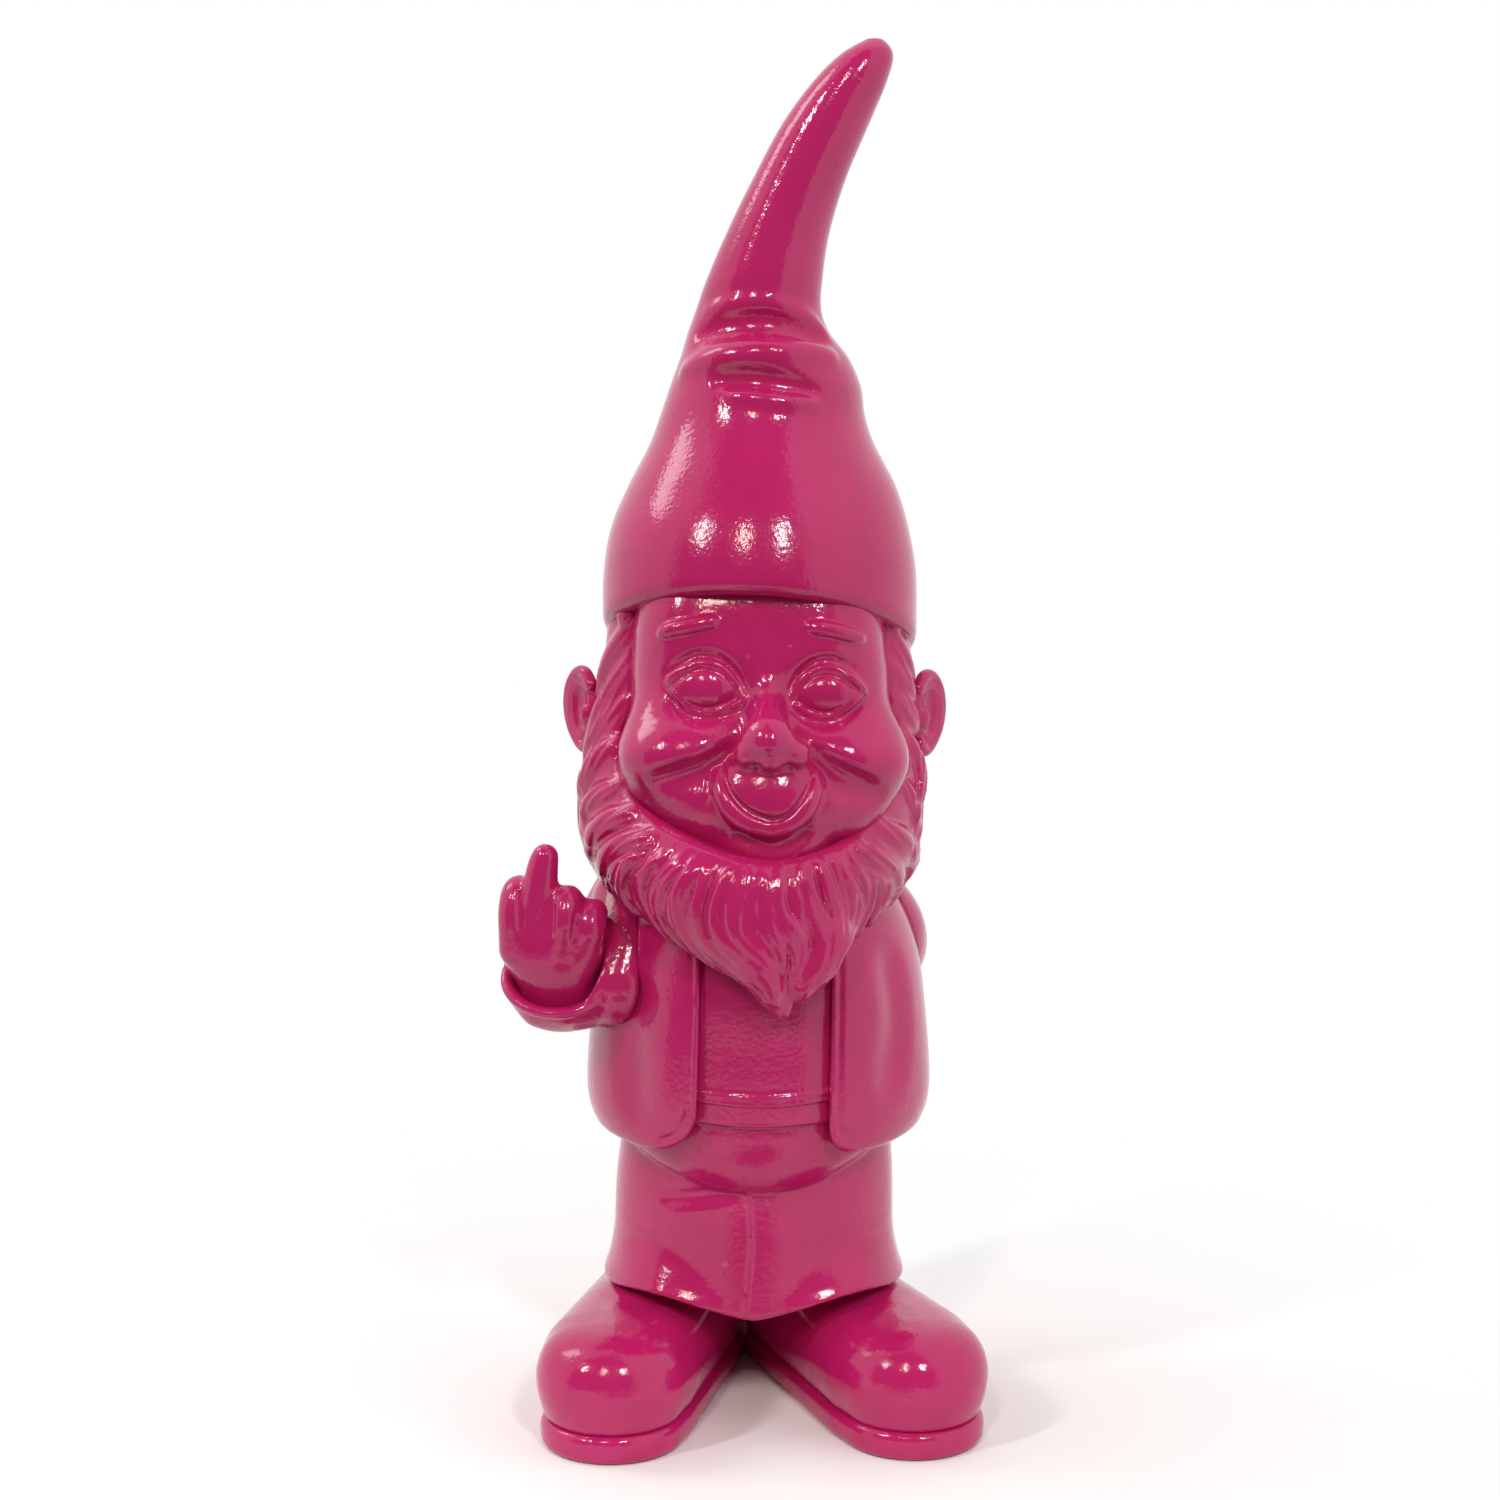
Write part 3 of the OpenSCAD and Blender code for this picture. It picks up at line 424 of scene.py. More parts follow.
    def stroke(self, marks: Sequence[Point], radius: float, depth: float, work: Work = Work.CUT,
               blend: float = 0.8, side: Side = Side.FRONT, taper: float = 0.35) -> None:
        """Draws a groove or a ridge on the clay's skin.

        Args:
            marks: The stroke's path in the two coordinates that the side shows.
            radius: Radius of the tool, or of the roll that is laid on.
            depth: How deep the groove goes, or how far the ridge stands out.
            work: CUT for a groove, ADD for a ridge.
            blend: Width of the rounding beside the stroke.
            side: The side that is drawn on.
            taper: Share of the stroke over which each end runs out.
        """
        path = curve_through(marks, 7)
        places, normals, hit = self.surface(path, side)
        places, normals = places[hit], normals[hit]
        if len(places) < 2:
            return
        run = np.linspace(0, 1, len(places))
        fade = np.clip(np.minimum(run, 1 - run) / max(taper, 1e-6), 0, 1)
        fade = np.sqrt(fade * (2 - fade)) if taper > 0 else np.ones_like(run)
        sizes = radius * (0.45 + 0.55 * fade)
        reach = sizes - depth * fade
        out = 1.0 if work is Work.CUT else -1.0
        centres = places + normals * (out * reach)[:, None]
        self.roll(np.column_stack((centres, sizes)), work, blend, 0)

    def soften(self, passes: int) -> None:
        """Rounds every edge and crease a little, as thick lacquer does.

        Args:
            passes: How often the field is blurred.
        """
        for _ in range(passes):
            for axis in range(3):
                block = np.swapaxes(self.field, 0, axis)
                block[1:-1] = 0.25 * block[:-2] + 0.5 * block[1:-1] + 0.25 * block[2:]

    def skin(self, name: str, relax: int = 4) -> Piece:
        """Skins the clay with a mesh.

        Args:
            name: Name of the piece.
            relax: Rounds of smoothing that take the grid's grain out.

        Returns:
            The piece, in metres, in the part's frame.
        """
        grid = openvdb.FloatGrid()
        grid.background = FAR
        grid.copyFromArray(np.ascontiguousarray(self.field))
        points, quads = grid.convertToQuads(isovalue=0.0)
        points, quads = largest_shell(points, quads)
        places = (self.low + self.step * points + AXIS) * MM
        mesh = bpy.data.meshes.new(name)
        mesh.vertices.add(len(places))
        mesh.vertices.foreach_set("co", places.astype(np.float32).ravel())
        mesh.loops.add(quads.size)
        mesh.loops.foreach_set("vertex_index", quads[:, ::-1].astype(np.int32).ravel())
        mesh.polygons.add(len(quads))
        mesh.polygons.foreach_set("loop_start", np.arange(0, quads.size, 4, dtype=np.int32))
        mesh.update(calc_edges=True)
        mesh.validate()
        piece = bpy.data.objects.new(name, mesh)
        bpy.context.collection.objects.link(piece)
        choose(piece)
        if relax:
            smooth = piece.modifiers.new("relax", "SMOOTH")
            smooth.factor = 0.5
            smooth.iterations = relax
            bpy.ops.object.modifier_apply(modifier=smooth.name)
        bpy.ops.object.shade_smooth()
        return piece


def largest_shell(points: Array, quads: Array) -> tuple[Array, Array]:
    """Drops loose crumbs of a mesh.

    Args:
        points: The mesh's points.
        quads: Its faces, as rows of four point numbers.

    Returns:
        The points and faces of the largest connected shell.
    """
    label = np.arange(len(points))
    pairs = np.vstack((quads[:, :2], quads[:, 1:3], quads[:, 2:]))
    while True:
        low = np.minimum(label[pairs[:, 0]], label[pairs[:, 1]])
        new = label.copy()
        np.minimum.at(new, pairs[:, 0], low)
        np.minimum.at(new, pairs[:, 1], low)
        new = new[new]
        if np.array_equal(new, label):
            break
        label = new
    names, counts = np.unique(label, return_counts=True)
    keep = label == names[counts.argmax()]
    number = np.cumsum(keep) - 1
    return points[keep], number[quads[keep[quads[:, 0]]]]


def choose(piece: Piece) -> None:
    """Makes one object the only one that is selected.

    Args:
        piece: The object.
    """
    bpy.ops.object.select_all(action="DESELECT")
    piece.select_set(True)
    bpy.context.view_layer.objects.active = piece


def outline_gap(ring: Array) -> Callable[[Array, Array], Array]:
    """Makes a function that measures the distance to a closed outline, negative inside.

    Args:
        ring: The outline's corners in order.

    Returns:
        The function of two coordinates.
    """

    def gap_of(px: Array, py: Array) -> Array:
        """Measures the distance at a grid of places.

        Args:
            px: The places' first coordinate.
            py: The places' second coordinate.

        Returns:
            The distance.
        """
        best = np.full(np.broadcast(px, py).shape, 1e9)
        inside = np.zeros(best.shape, bool)
        for (ax, ay), (bx, by) in zip(ring, np.roll(ring, -1, axis=0)):
            ex, ey = bx - ax, by - ay
            t = np.clip(((px - ax) * ex + (py - ay) * ey) / (ex * ex + ey * ey + 1e-9), 0, 1)
            best = np.minimum(best, (px - ax - t * ex) ** 2 + (py - ay - t * ey) ** 2)
            crosses = (ay > py) != (by > py)
            inside ^= crosses & (px < ex * (py - ay) / (ey if ey else 1e-9) + ax)
        return np.where(inside, -1, 1) * np.sqrt(best)

    return gap_of


def prism(corners: Sequence[Point]) -> Distance:
    """Makes the distance field of a prism from front to back over a rounded outline of x and z."""
    gap_of = outline_gap(curve_through(corners, 4))
    return lambda x, y, z: gap_of(x[:, 0, :], z[0, :, :])[:, None, :].astype(np.float32)


class SubAssembly:
    """What the figure is put together from. It builds its meshes and dresses them."""

    body = FIGURE
    slot = "lacquer"

    def build(self) -> Pieces:
        """Models the pieces and returns each with the CAD node that it stands for."""
        raise NotImplementedError

    def dress(self, finish: Material) -> None:
        """Models the pieces and gives each its finish and its place in the frame.

        Args:
            finish: The material of every piece.
        """
        for piece, node in self.build():
            piece.data.materials.clear()
            piece.data.materials.append(finish)
            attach(piece, self.body)
            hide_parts(node)
            LOG.info("%s: %d faces, stands for %s", piece.name, len(piece.data.polygons), node)


# Bodies that several castings share, with the same shares as the part's source
HEAD_FORM = Loft((
    (0.00, 0, 0, 0.80, 0.84, 0.80), (0.07, 0, 0, 0.92, 0.98, 0.92), (0.18, 0, 0, 0.98, 1.00, 0.98),
    (0.32, 0, 0, 1.00, 1.00, 1.00), (0.46, 0, 0, 0.99, 0.93, 1.00), (0.60, 0, 0, 0.97, 0.90, 1.00),
    (0.74, 0, 0, 0.92, 0.84, 0.95), (0.87, 0, 0, 0.74, 0.68, 0.76), (0.96, 0, 0, 0.42, 0.38, 0.43),
    (1.00, 0, 0, 0.08, 0.08, 0.08)), 145.2, 90, 70, 42, 36, turn=3)
HAIR_FORM = Loft((
    (0.00, 0.0333, 0, 0.04, 0.88, 0.30), (0.05, 0.0333, 0, 0.20, 0.94, 0.40),
    (0.12, 0.0222, 0, 0.47, 0.98, 0.60), (0.20, 0, 0, 0.70, 1.00, 0.80),
    (0.30, -0.0167, 0, 0.885, 0.99, 0.90), (0.42, -0.0244, 0, 0.98, 0.95, 0.97),
    (0.55, -0.0222, 0, 0.99, 0.79, 1.00), (0.70, -0.0167, 0, 0.96, 0.585, 1.00),
    (0.85, -0.0056, 0, 0.91, 0.50, 1.00), (1.00, 0, 0, 0.885, 0.50, 1.00),
    (1.15, 0, 0, 0.87, 0.50, 1.00)), 110.1, 90, 90, 56, 41)
TORSO_FORM = Loft((
    (-0.13, 0, 0, 0.97, 0.98, 0.97), (0.00, 0, 0, 0.98, 1.00, 0.98), (0.20, 0, 0, 1.00, 1.00, 1.00),
    (0.50, 0, 0, 0.96, 1.00, 1.00), (0.75, 0, 0, 0.84, 0.92, 0.94), (0.92, 0, 0, 0.62, 0.70, 0.74),
    (1.00, 0, 0, 0.44, 0.46, 0.52)), 87, 58, 80, 42, 33)
JACKET_FORM = Loft((
    (0.00, 0, 0, 0.87, 0.93, 0.93), (0.06, 0, 0, 0.95, 0.98, 0.98), (0.18, 0, 0, 1.00, 1.00, 1.00),
    (0.45, 0, 0, 0.97, 1.00, 1.00), (0.65, 0, 0, 0.92, 0.98, 1.00), (0.82, 0, 0, 0.81, 0.90, 0.95),
    (0.94, 0, 0, 0.63, 0.71, 0.80), (1.00, 0, 0, 0.49, 0.54, 0.62)), 69, 76, 89.5, 45.5, 38)


@dataclass
class Head(SubAssembly):
    """The head casting: the face and the crown that goes up into the hat."""

    step: float = 0.5
    brow_r: float = 2.1
    upper_lids: tuple = (
        ((-22.4, 189.7), (-20.6, 191.5), (-18.2, 193.1), (-14.3, 194.6), (-9.5, 193.7), (-5.7, 189.6),
         (-3.4, 185.6)),
        ((7.9, 185.9), (10.2, 190.1), (13.8, 192.9), (17.9, 193.3), (21.9, 191.3), (24.6, 188.9),
         (26.0, 187.0)))
    lower_lids: tuple = (
        ((-21.2, 188.2), (-18.2, 184.2), (-14.0, 182.6), (-8.7, 183.3), (-3.6, 185.4)),
        ((8.5, 184.8), (11.9, 182.4), (16.6, 181.5), (21.0, 183.1), (24.9, 186.7)))
    brows: tuple = (
        ((-24.2, 202.2), (-21.4, 203.5), (-17.5, 204.3), (-13.1, 205.2), (-10.6, 205.6)),
        ((11.8, 204.3), (15.2, 203.9), (18.5, 203.3), (21.8, 202.3), (25.5, 201.0)))

    eye_centres: tuple = ((-12.9, 188.7), (16.3, 187.6))
    gap: tuple = ((-9.1, 170.8), (-8.4, 167.0), (-6.2, 163.1), (-2.6, 159.8), (1.3, 158.1), (3.5, 157.8),
                  (6.8, 158.7), (10.1, 162.0), (12.3, 165.9), (13.7, 169.9))
    lip: tuple = ((-10.6, 168.8), (-9.8, 164.4), (-7.2, 159.8), (-3.1, 156.2), (1.3, 154.6), (5.1, 154.7),
                  (9.4, 157.4), (12.6, 162.0), (14.6, 167.6))
    chin: tuple = ((-4.8, 154.4), (-0.9, 151.8), (3.5, 150.9), (7.9, 152.0), (11.4, 155.0))
    smile_folds: tuple = (
        ((-5.0, 174.2), (-8.6, 171.7), (-13.0, 169.5), (-18.0, 168.0), (-24.5, 166.4)),
        ((10.8, 173.6), (14.6, 170.7), (19.0, 167.8), (23.6, 165.2), (29.0, 162.4)))

    def build(self) -> Pieces:
        """Models the face and the crown.

        Returns:
            Each piece with the CAD node that it stands for.
        """
        clay = Clay((-40, -60, 143), (42, 8, 215), self.step)
        clay.loft(HEAD_FORM)
        self.mask(clay)
        self.creases(clay)
        self.mouth(clay)
        self.nose(clay)
        self.eyes(clay)
        clay.trim(Axis.Y, 5, -1)
        clay.trim(Axis.Z, 212, -1)
        return [(clay.skin("face", 3), "head")]

    def mask(self, clay: Clay) -> None:
        """Lays on temples, cheeks and jaw, which stand out over the hair.

        Args:
            clay: The block that is worked.
        """
        for centre, radii, blend, lean in (
                ((-17.0, -21, 198), (12.5, 14, 21), 8, 0), ((17.0, -21, 198), (12.5, 14, 21), 8, 0),
                ((-20.6, -20, 185.5), (8.6, 12, 12), 6, 0), ((22.0, -20, 185.5), (8.6, 12, 12), 6, 0),
                ((-18.5, -28, 171.0), (16.4, 15.0, 15.5), 7, 0),
                ((20.5, -28, 170.3), (16.6, 15.0, 15.5), 7, 0),
                ((-17.6, -34.2, 173.0), (15.0, 11.0, 7.4), 4, -8),
                ((20.2, -34.2, 172.0), (15.0, 11.0, 7.4), 4, 9),
                ((2.5, -30, 160), (27, 17.0, 15), 6, 0), ((3.5, -39.6, 150.5), (12, 7.5, 6), 4, 0)):
            clay.lump(centre, radii, blend=blend, turn=(0, lean, 0))

    def mouth(self, clay: Clay) -> None:
        """Models the open smile, the rounded form that fills it and the lower lip.

        Args:
            clay: The block that is worked.
        """
        clay.lump((2.4, -54, 165.2), (15.2, 10.8, 10.4), Work.CUT, 1.4)
        clay.lump((2.4, -41.4, 164.2), (14.4, 8.2, 11.6), blend=0.3, turn=(-22, 0, 0))
        clay.stroke(self.gap, 1.0, 1.3, Work.CUT, 0.4, taper=0.3)
        clay.stroke(self.lip, 2.3, 1.5, Work.ADD, 1.4, taper=0.4)
        clay.stroke(self.chin, 1.8, 0.9, Work.CUT, 2.2)

    def nose(self, clay: Clay) -> None:
        """Models the short broad nose.

        Args:
            clay: The block that is worked.
        """
        clay.roll(((2.1, -36.0, 188.6, 2.0), (2.1, -39.2, 185.2, 3.2), (2.1, -43.4, 181.4, 4.4),
                   (2.1, -46.4, 178.6, 5.2)), blend=4)
        clay.lump((2.4, -48.4, 176.9), (5.8, 5.8, 4.6), blend=3.5)
        for x in (-1.8, 8.0):
            clay.lump((x, -46.2, 173.6), (4.4, 5.0, 3.7), blend=2.4)
        clay.lump((2.8, -48.8, 172.2), (3.2, 3.8, 2.6), blend=2)
        for x in (-1.2, 7.1):
            clay.lump((x, -50.4, 170.7), (2.0, 2.2, 1.0), Work.CUT, 0.8)

    def creases(self, clay: Clay) -> None:
        """Draws the folds of the smile around nose and mouth.

        Args:
            clay: The block that is worked.
        """
        for fold in self.smile_folds:
            clay.stroke(fold, 4.0, 2.4, Work.CUT, 2.4)
        clay.stroke(((-11.9, 167.0), (-12.6, 164.0), (-13.3, 160.8)), 0.8, 0.5, Work.CUT, 0.8)

    def eyes(self, clay: Clay) -> None:
        """Models sockets, eyeballs, lids and brows.

        Args:
            clay: The block that is worked.
        """
        for (x, z), upper, lower in zip(self.eye_centres, self.upper_lids, self.lower_lids):
            clay.lump((x, -43.6, z + 0.6), (11.0, 8.2, 8.2), Work.CUT, 4.0)
            clay.lump((x, -31.6, z - 0.5), (10.4, 7.8, 8.2), blend=0.3)
            for path, rise, radius, depth, work, blend, taper in (
                    (upper, 2.2, 1.2, 0.6, Work.CUT, 1.2, 0.35),
                    (upper, 0.0, 1.2, 1.15, Work.ADD, 0.35, 0.16),
                    (lower, 0.0, 1.0, 0.9, Work.ADD, 0.35, 0.16),
                    (lower, -1.7, 0.9, 0.5, Work.CUT, 1.0, 0.35),
                    (upper[1:-1], -1.5, 0.6, 0.6, Work.CUT, 0.3, 0.35),
                    (lower[1:-1], 1.3, 0.45, 0.3, Work.CUT, 0.3, 0.35)):
                clay.stroke(raised(path, rise), radius, depth, work, blend, taper=taper)
        for brow in self.brows:
            clay.stroke(raised(brow, -0.9), self.brow_r, 1.55, Work.ADD, 0.4, taper=0.3)


@dataclass(frozen=True)
class Ear(SubAssembly):
    """One ear, set into the side of the head: a shell with a rolled rim."""

    name: str
    side: int
    root: tuple
    flare: float = 50.0
    step: float = 0.42
    rim: tuple = ((-1.5, 1.4, 6.6), (1.6, 0.9, 9.4), (5.8, 0.3, 9.0), (9.0, 0.1, 5.4), (9.8, 0.1, 0.4),
                  (8.2, 0.3, -4.6), (4.8, 0.7, -8.4), (1.4, 1.2, -9.8), (-1.0, 1.6, -7.8))
    ridge: tuple = ((-0.4, 1.2, 5.0), (3.2, 0.8, 7.0), (6.2, 0.6, 4.0), (6.6, 0.6, -1.0), (4.8, 0.8, -5.2),
                    (2.2, 1.0, -6.8))

    def at(self, out: float, proud: float, up: float) -> tuple[float, float, float]:
        """Finds a place on the ear.

        Args:
            out: Distance out from the root.
            proud: Distance in front of the shell.
            up: Height above the ear's middle.

        Returns:
            The place's x, y and z.
        """
        turn = math.radians(self.flare)
        return (self.root[0] + self.side * (out * math.cos(turn) + proud * math.sin(turn)),
                self.root[1] + out * math.sin(turn) - proud * math.cos(turn), self.root[2] + up)

    def build(self) -> Pieces:
        """Models the ear.

        Returns:
            Each piece with the CAD node that it stands for.
        """
        x, y, z = self.root
        clay = Clay((x - 16, y - 10, z - 16), (x + 16, y + 16, z + 16), self.step)
        turn = (0, 0, self.flare * self.side)
        clay.lump(self.at(3.6, 0.0, 0.2), (7.4, 2.6, 10.0), blend=1, turn=turn)
        clay.roll(((x - self.side * 6, y + 1, z, 5.5), (*self.at(2, -0.5, 0), 4.4)), blend=2)
        clay.roll(tuple((*self.at(*spot), 1.65) for spot in self.rim), blend=0.7)
        clay.lump(self.at(3.4, 3.0, 0.8), (4.6, 2.4, 7.6), Work.CUT, 0.8, turn=turn)
        clay.roll(tuple((*self.at(*spot), 1.05) for spot in self.ridge), blend=0.5)
        clay.lump(self.at(0.2, 1.8, -1.2), (1.8, 1.6, 2.8), blend=0.6, turn=turn)
        return [(clay.skin(self.name + "_ear", 3), "head")]


FACE_EDGE = ((-29.5, 232), (-29.5, 188), (-31.2, 183), (-33.5, 178), (-34.6, 172.5), (-33.6, 167),
             (-30.6, 161.6), (-26.0, 157.6), (-19.5, 154.2), (-12.0, 151.2), (-4.0, 148.9), (3.5, 148.1),
             (11.0, 148.9), (18.0, 151.0), (25.0, 154.4), (31.0, 159.6), (35.4, 165.5), (36.9, 171.5),
             (35.6, 177.5), (32.3, 183.6), (30.2, 189), (29.6, 232))


@dataclass
class Beard(SubAssembly):
    """Beard and sideburns: one mass of hair with locks laid on it."""

    step: float = 0.55
    seed: int = 5
    lock_r: float = 1.3
    lock_out: float = 0.95
    per_gap: int = 3
    guides: tuple = (
        ((-33.6, 150.0), (-38.5, 144.5), (-39.5, 139.0), (-36.0, 133.0)),
        ((-28.8, 150.0), (-33.6, 144.0), (-34.0, 138.0), (-29.0, 131.0)),
        ((-23.0, 149.5), (-28.0, 143.6), (-28.6, 137.3), (-24.7, 130.5), (-19.5, 124.5)),
        ((-18.4, 149.0), (-23.7, 140.9), (-23.7, 134.1), (-19.6, 127.9), (-13.0, 120.9)),
        ((-15.1, 147.9), (-19.6, 139.7), (-19.5, 133.0), (-14.6, 126.2), (-6.4, 119.2)),
        ((-12.3, 146.4), (-14.6, 137.8), (-14.0, 131.1), (-8.5, 125.0), (0.4, 118.2), (3.5, 113.4)),
        ((-7.3, 146.0), (-10.1, 137.4), (-9.5, 131.3), (-4.0, 125.7), (2.2, 119.5), (4.0, 113.8)),
        ((-4.0, 145.5), (-5.7, 136.0), (-5.1, 130.4), (-0.2, 125.4), (3.4, 120.0), (4.4, 114.6)),
        ((-1.0, 145.4), (-2.8, 137.2), (-1.6, 131.8), (2.0, 126.8), (4.2, 120.8)),
        ((1.5, 145.3), (0.6, 138.2), (2.0, 133.2), (4.4, 128.2), (5.2, 121.7)),
        ((4.7, 145.1), (4.2, 137.1), (7.5, 131.5), (9.2, 125.9), (7.6, 117.8)),
        ((7.5, 145.0), (9.7, 135.4), (11.9, 129.8), (11.4, 124.2), (8.6, 116.6)),
        ((11.3, 145.5), (13.0, 136.9), (14.7, 131.3), (14.7, 125.7), (11.0, 116.4)),
        ((14.7, 147.0), (17.5, 138.8), (18.6, 132.6), (17.5, 126.4), (13.7, 118.0)),
        ((18.6, 147.7), (21.9, 140.1), (22.5, 133.4), (20.3, 127.2), (16.5, 119.0)),
        ((21.5, 148.7), (26.0, 141.1), (26.6, 135.4), (24.4, 129.8), (20.5, 122.0)),
        ((24.5, 150.0), (30.2, 142.9), (31.3, 137.8), (29.0, 132.6), (26.3, 126.5)),
        ((28.8, 150.6), (34.5, 143.6), (35.0, 138.4), (32.6, 132.0)))
    right_locks: tuple = (
        ((-29.0, 206.0), (-33.5, 199.0), (-38.0, 192.0), (-41.0, 184.0)),
        ((-30.5, 195.0), (-35.5, 187.5), (-40.0, 180.0), (-43.5, 172.0)),
        ((-33.4, 184.1), (-38.5, 178.3), (-43.2, 171.0), (-45.8, 163.7)),
        ((-36.7, 172.5), (-40.7, 168.1), (-44.4, 161.5), (-46.3, 155.7)),
        ((-35.7, 163.0), (-40.8, 159.3), (-44.1, 154.2), (-43.8, 149.1)),
        ((-31.4, 157.2), (-37.2, 154.2), (-41.6, 149.1), (-42.0, 143.2)),
        ((-26.3, 152.0), (-32.9, 149.8), (-38.0, 144.7), (-38.7, 138.8)))
    left_locks: tuple = (
        ((29.5, 205.0), (33.5, 198.0), (37.5, 191.0), (40.5, 184.0)),
        ((32.0, 194.5), (36.5, 187.5), (40.5, 180.5), (42.3, 174.0)),
        ((34.5, 185.0), (39.0, 178.0), (41.8, 171.0), (42.0, 165.0)),
        ((37.6, 173.5), (40.2, 167.0), (40.6, 160.0), (39.6, 154.0)),
        ((36.2, 163.0), (38.8, 157.0), (39.8, 151.0), (38.6, 145.0)),
        ((29.4, 154.2), (35.2, 149.1), (38.9, 142.5), (34.6, 133.6)),
        ((24.3, 149.1), (31.6, 143.2), (34.6, 137.3), (31.0, 129.9)))
    jaw_locks: tuple = (
        ((-5.0, 168.0), (-9.0, 160.0), (-15.0, 152.0), (-23.0, 146.0)),
        ((3.0, 166.0), (-1.0, 157.0), (-7.5, 148.5), (-16.0, 141.0)),
        ((6.5, 158.0), (2.5, 149.0), (-4.0, 141.0), (-12.0, 134.5)),
        ((7.0, 149.0), (3.0, 141.0), (-2.5, 135.0), (-9.0, 130.0)),
        ((7.5, 141.0), (4.0, 135.5), (0.0, 131.5), (-5.0, 128.0)))

    def build(self) -> Pieces:
        """Models the beard.

        Returns:
            Each piece with the CAD node that it stands for.
        """
        clay = Clay((-54, -64, 107), (50, 14, 216), self.step)
        clay.loft(HAIR_FORM, grow=-0.9)
        clay.press(prism(FACE_EDGE), Work.CUT, 3.0, (-60, -70, 100), (60, -14, 230))
        self.tip(clay)
        self.locks(clay)
        fit_hair(clay)
        clay.loft(TORSO_FORM, Work.CUT, 0.5, -0.4)
        clay.trim(Axis.Y, HAIR_SPLIT, -1)
        return [(clay.skin("beard_locks", 1), "beard")]

    def tip(self, clay: Clay) -> None:
        """Fills the beard's heavy lower edge and curls its tip.

        Args:
            clay: The block that is worked.
        """
        clay.roll(((15.0, -44.0, 127, 6.5), (12.8, -47.2, 121.5, 5.2), (9.8, -49.2, 117.0, 3.6)), blend=4)
        clay.roll(((-0.5, -50.0, 121.5, 4.4), (2.6, -50.4, 116.0, 3.2), (5.0, -50.0, 112.6, 2.4),
                   (5.9, -49.4, 111.2, 1.9)), blend=3)

    def locks(self, clay: Clay) -> None:
        """Lays broad locks on the mass and fine strands on those.

        Args:
            clay: The block that is worked.
        """
        draw = np.random.default_rng(self.seed)
        sides = [(path, Side.FRONT) for path in self.right_locks + self.left_locks]
        jaws = [(path, side) for side in (Side.RIGHT, Side.LEFT) for path in self.jaw_locks]
        clay.settle()
        for number, guide in enumerate(self.guides):
            size = 1.0 + 0.25 * math.sin(number * 2.1)
            clay.stroke(even(guide, 9), 3.4 * size, 1.3 * size, Work.ADD, 0.9, taper=0.5)
        for number, (path, side) in enumerate(sides):
            clay.stroke(path, 5.2, 2.3 + 0.3 * math.sin(number * 2.7), Work.ADD, 0.9, side, 0.5)
        for path, side in jaws:
            clay.stroke(path, 4.6, 1.5, Work.ADD, 0.9, side, 0.5)
        clay.settle()
        for left, right in zip(self.guides[:-1], self.guides[1:]):
            a, b = even(left, 8), even(right, 8)
            for k in range(self.per_gap):
                share = (k + draw.uniform(-0.3, 0.3)) / self.per_gap
                path = a + (b - a) * share
                path[1:-1, 0] += 0.6 * np.sin(np.linspace(0, 5.0, 6) + draw.uniform(0, 6))
                path[0, 1] += draw.uniform(-2.0, 3.0)
                size = draw.uniform(0.7, 1.3)
                clay.stroke(path, self.lock_r * size, self.lock_out * size, Work.ADD, 0.35, taper=0.4)
        for strands, column, way, sway, shifts in ((sides, 1, -1, 0.5, (-1.9, 0.2, 2.1)),
                                                   (jaws, 0, 1, 0.4, (-1.8, 0.3, 2.2))):
            for path, side in strands:
                for shift in shifts:
                    moved = even(path, 7)
                    wave = np.sin(np.linspace(0, 4.4, 7) + draw.uniform(0, 6))
                    moved[:, column] += way * (shift + sway * wave)
                    clay.stroke(moved, 0.8, 0.6, Work.CUT, 0.6, side, 0.5)
        clay.release()


def even(points: Sequence[Point], count: int) -> Array:
    """Spreads places evenly along a smooth path.

    Args:
        points: The places that the path passes.
        count: How many places are wanted.

    Returns:
        The places' rows.
    """
    path = curve_through(points, 12)
    run = np.concatenate(([0], np.cumsum(np.linalg.norm(np.diff(path, axis=0), axis=1))))
    at = np.linspace(0, run[-1], count)
    return np.stack([np.interp(at, run, path[:, k]) for k in range(path.shape[1])], axis=1)


BRIM_Z = 198.0
BRIM_TILT = 19.0
BRIM_ROLL = 3.2
BRIM_LAP = 1.6
HAIR_SPLIT = 9.0


def above_brim(lift: float) -> Distance:
    """Measures off the space above the brim's tilted plane.

    Args:
        lift: How far the plane is raised.

    Returns:
        The space's distance field.
    """
    normal = Euler((math.radians(-BRIM_TILT), math.radians(BRIM_ROLL), 0)).to_matrix() @ Vector((0, 0, 1))

    def field_of(x: Array, y: Array, z: Array) -> Array:
        """Measures the distance below the plane."""
        return -(normal.x * x + normal.y * y + normal.z * (z - BRIM_Z - lift))

    return field_of


def fit_hair(clay: Clay) -> None:
    """Cuts the hair off under the brim and where it sits on head and jacket.

    Args:
        clay: The block that is worked.
    """
    clay.press(above_brim(BRIM_LAP), Work.CUT)
    clay.loft(HEAD_FORM, Work.CUT, 0.5, -1.0)
    clay.loft(JACKET_FORM, Work.CUT, 0.5, -0.4)


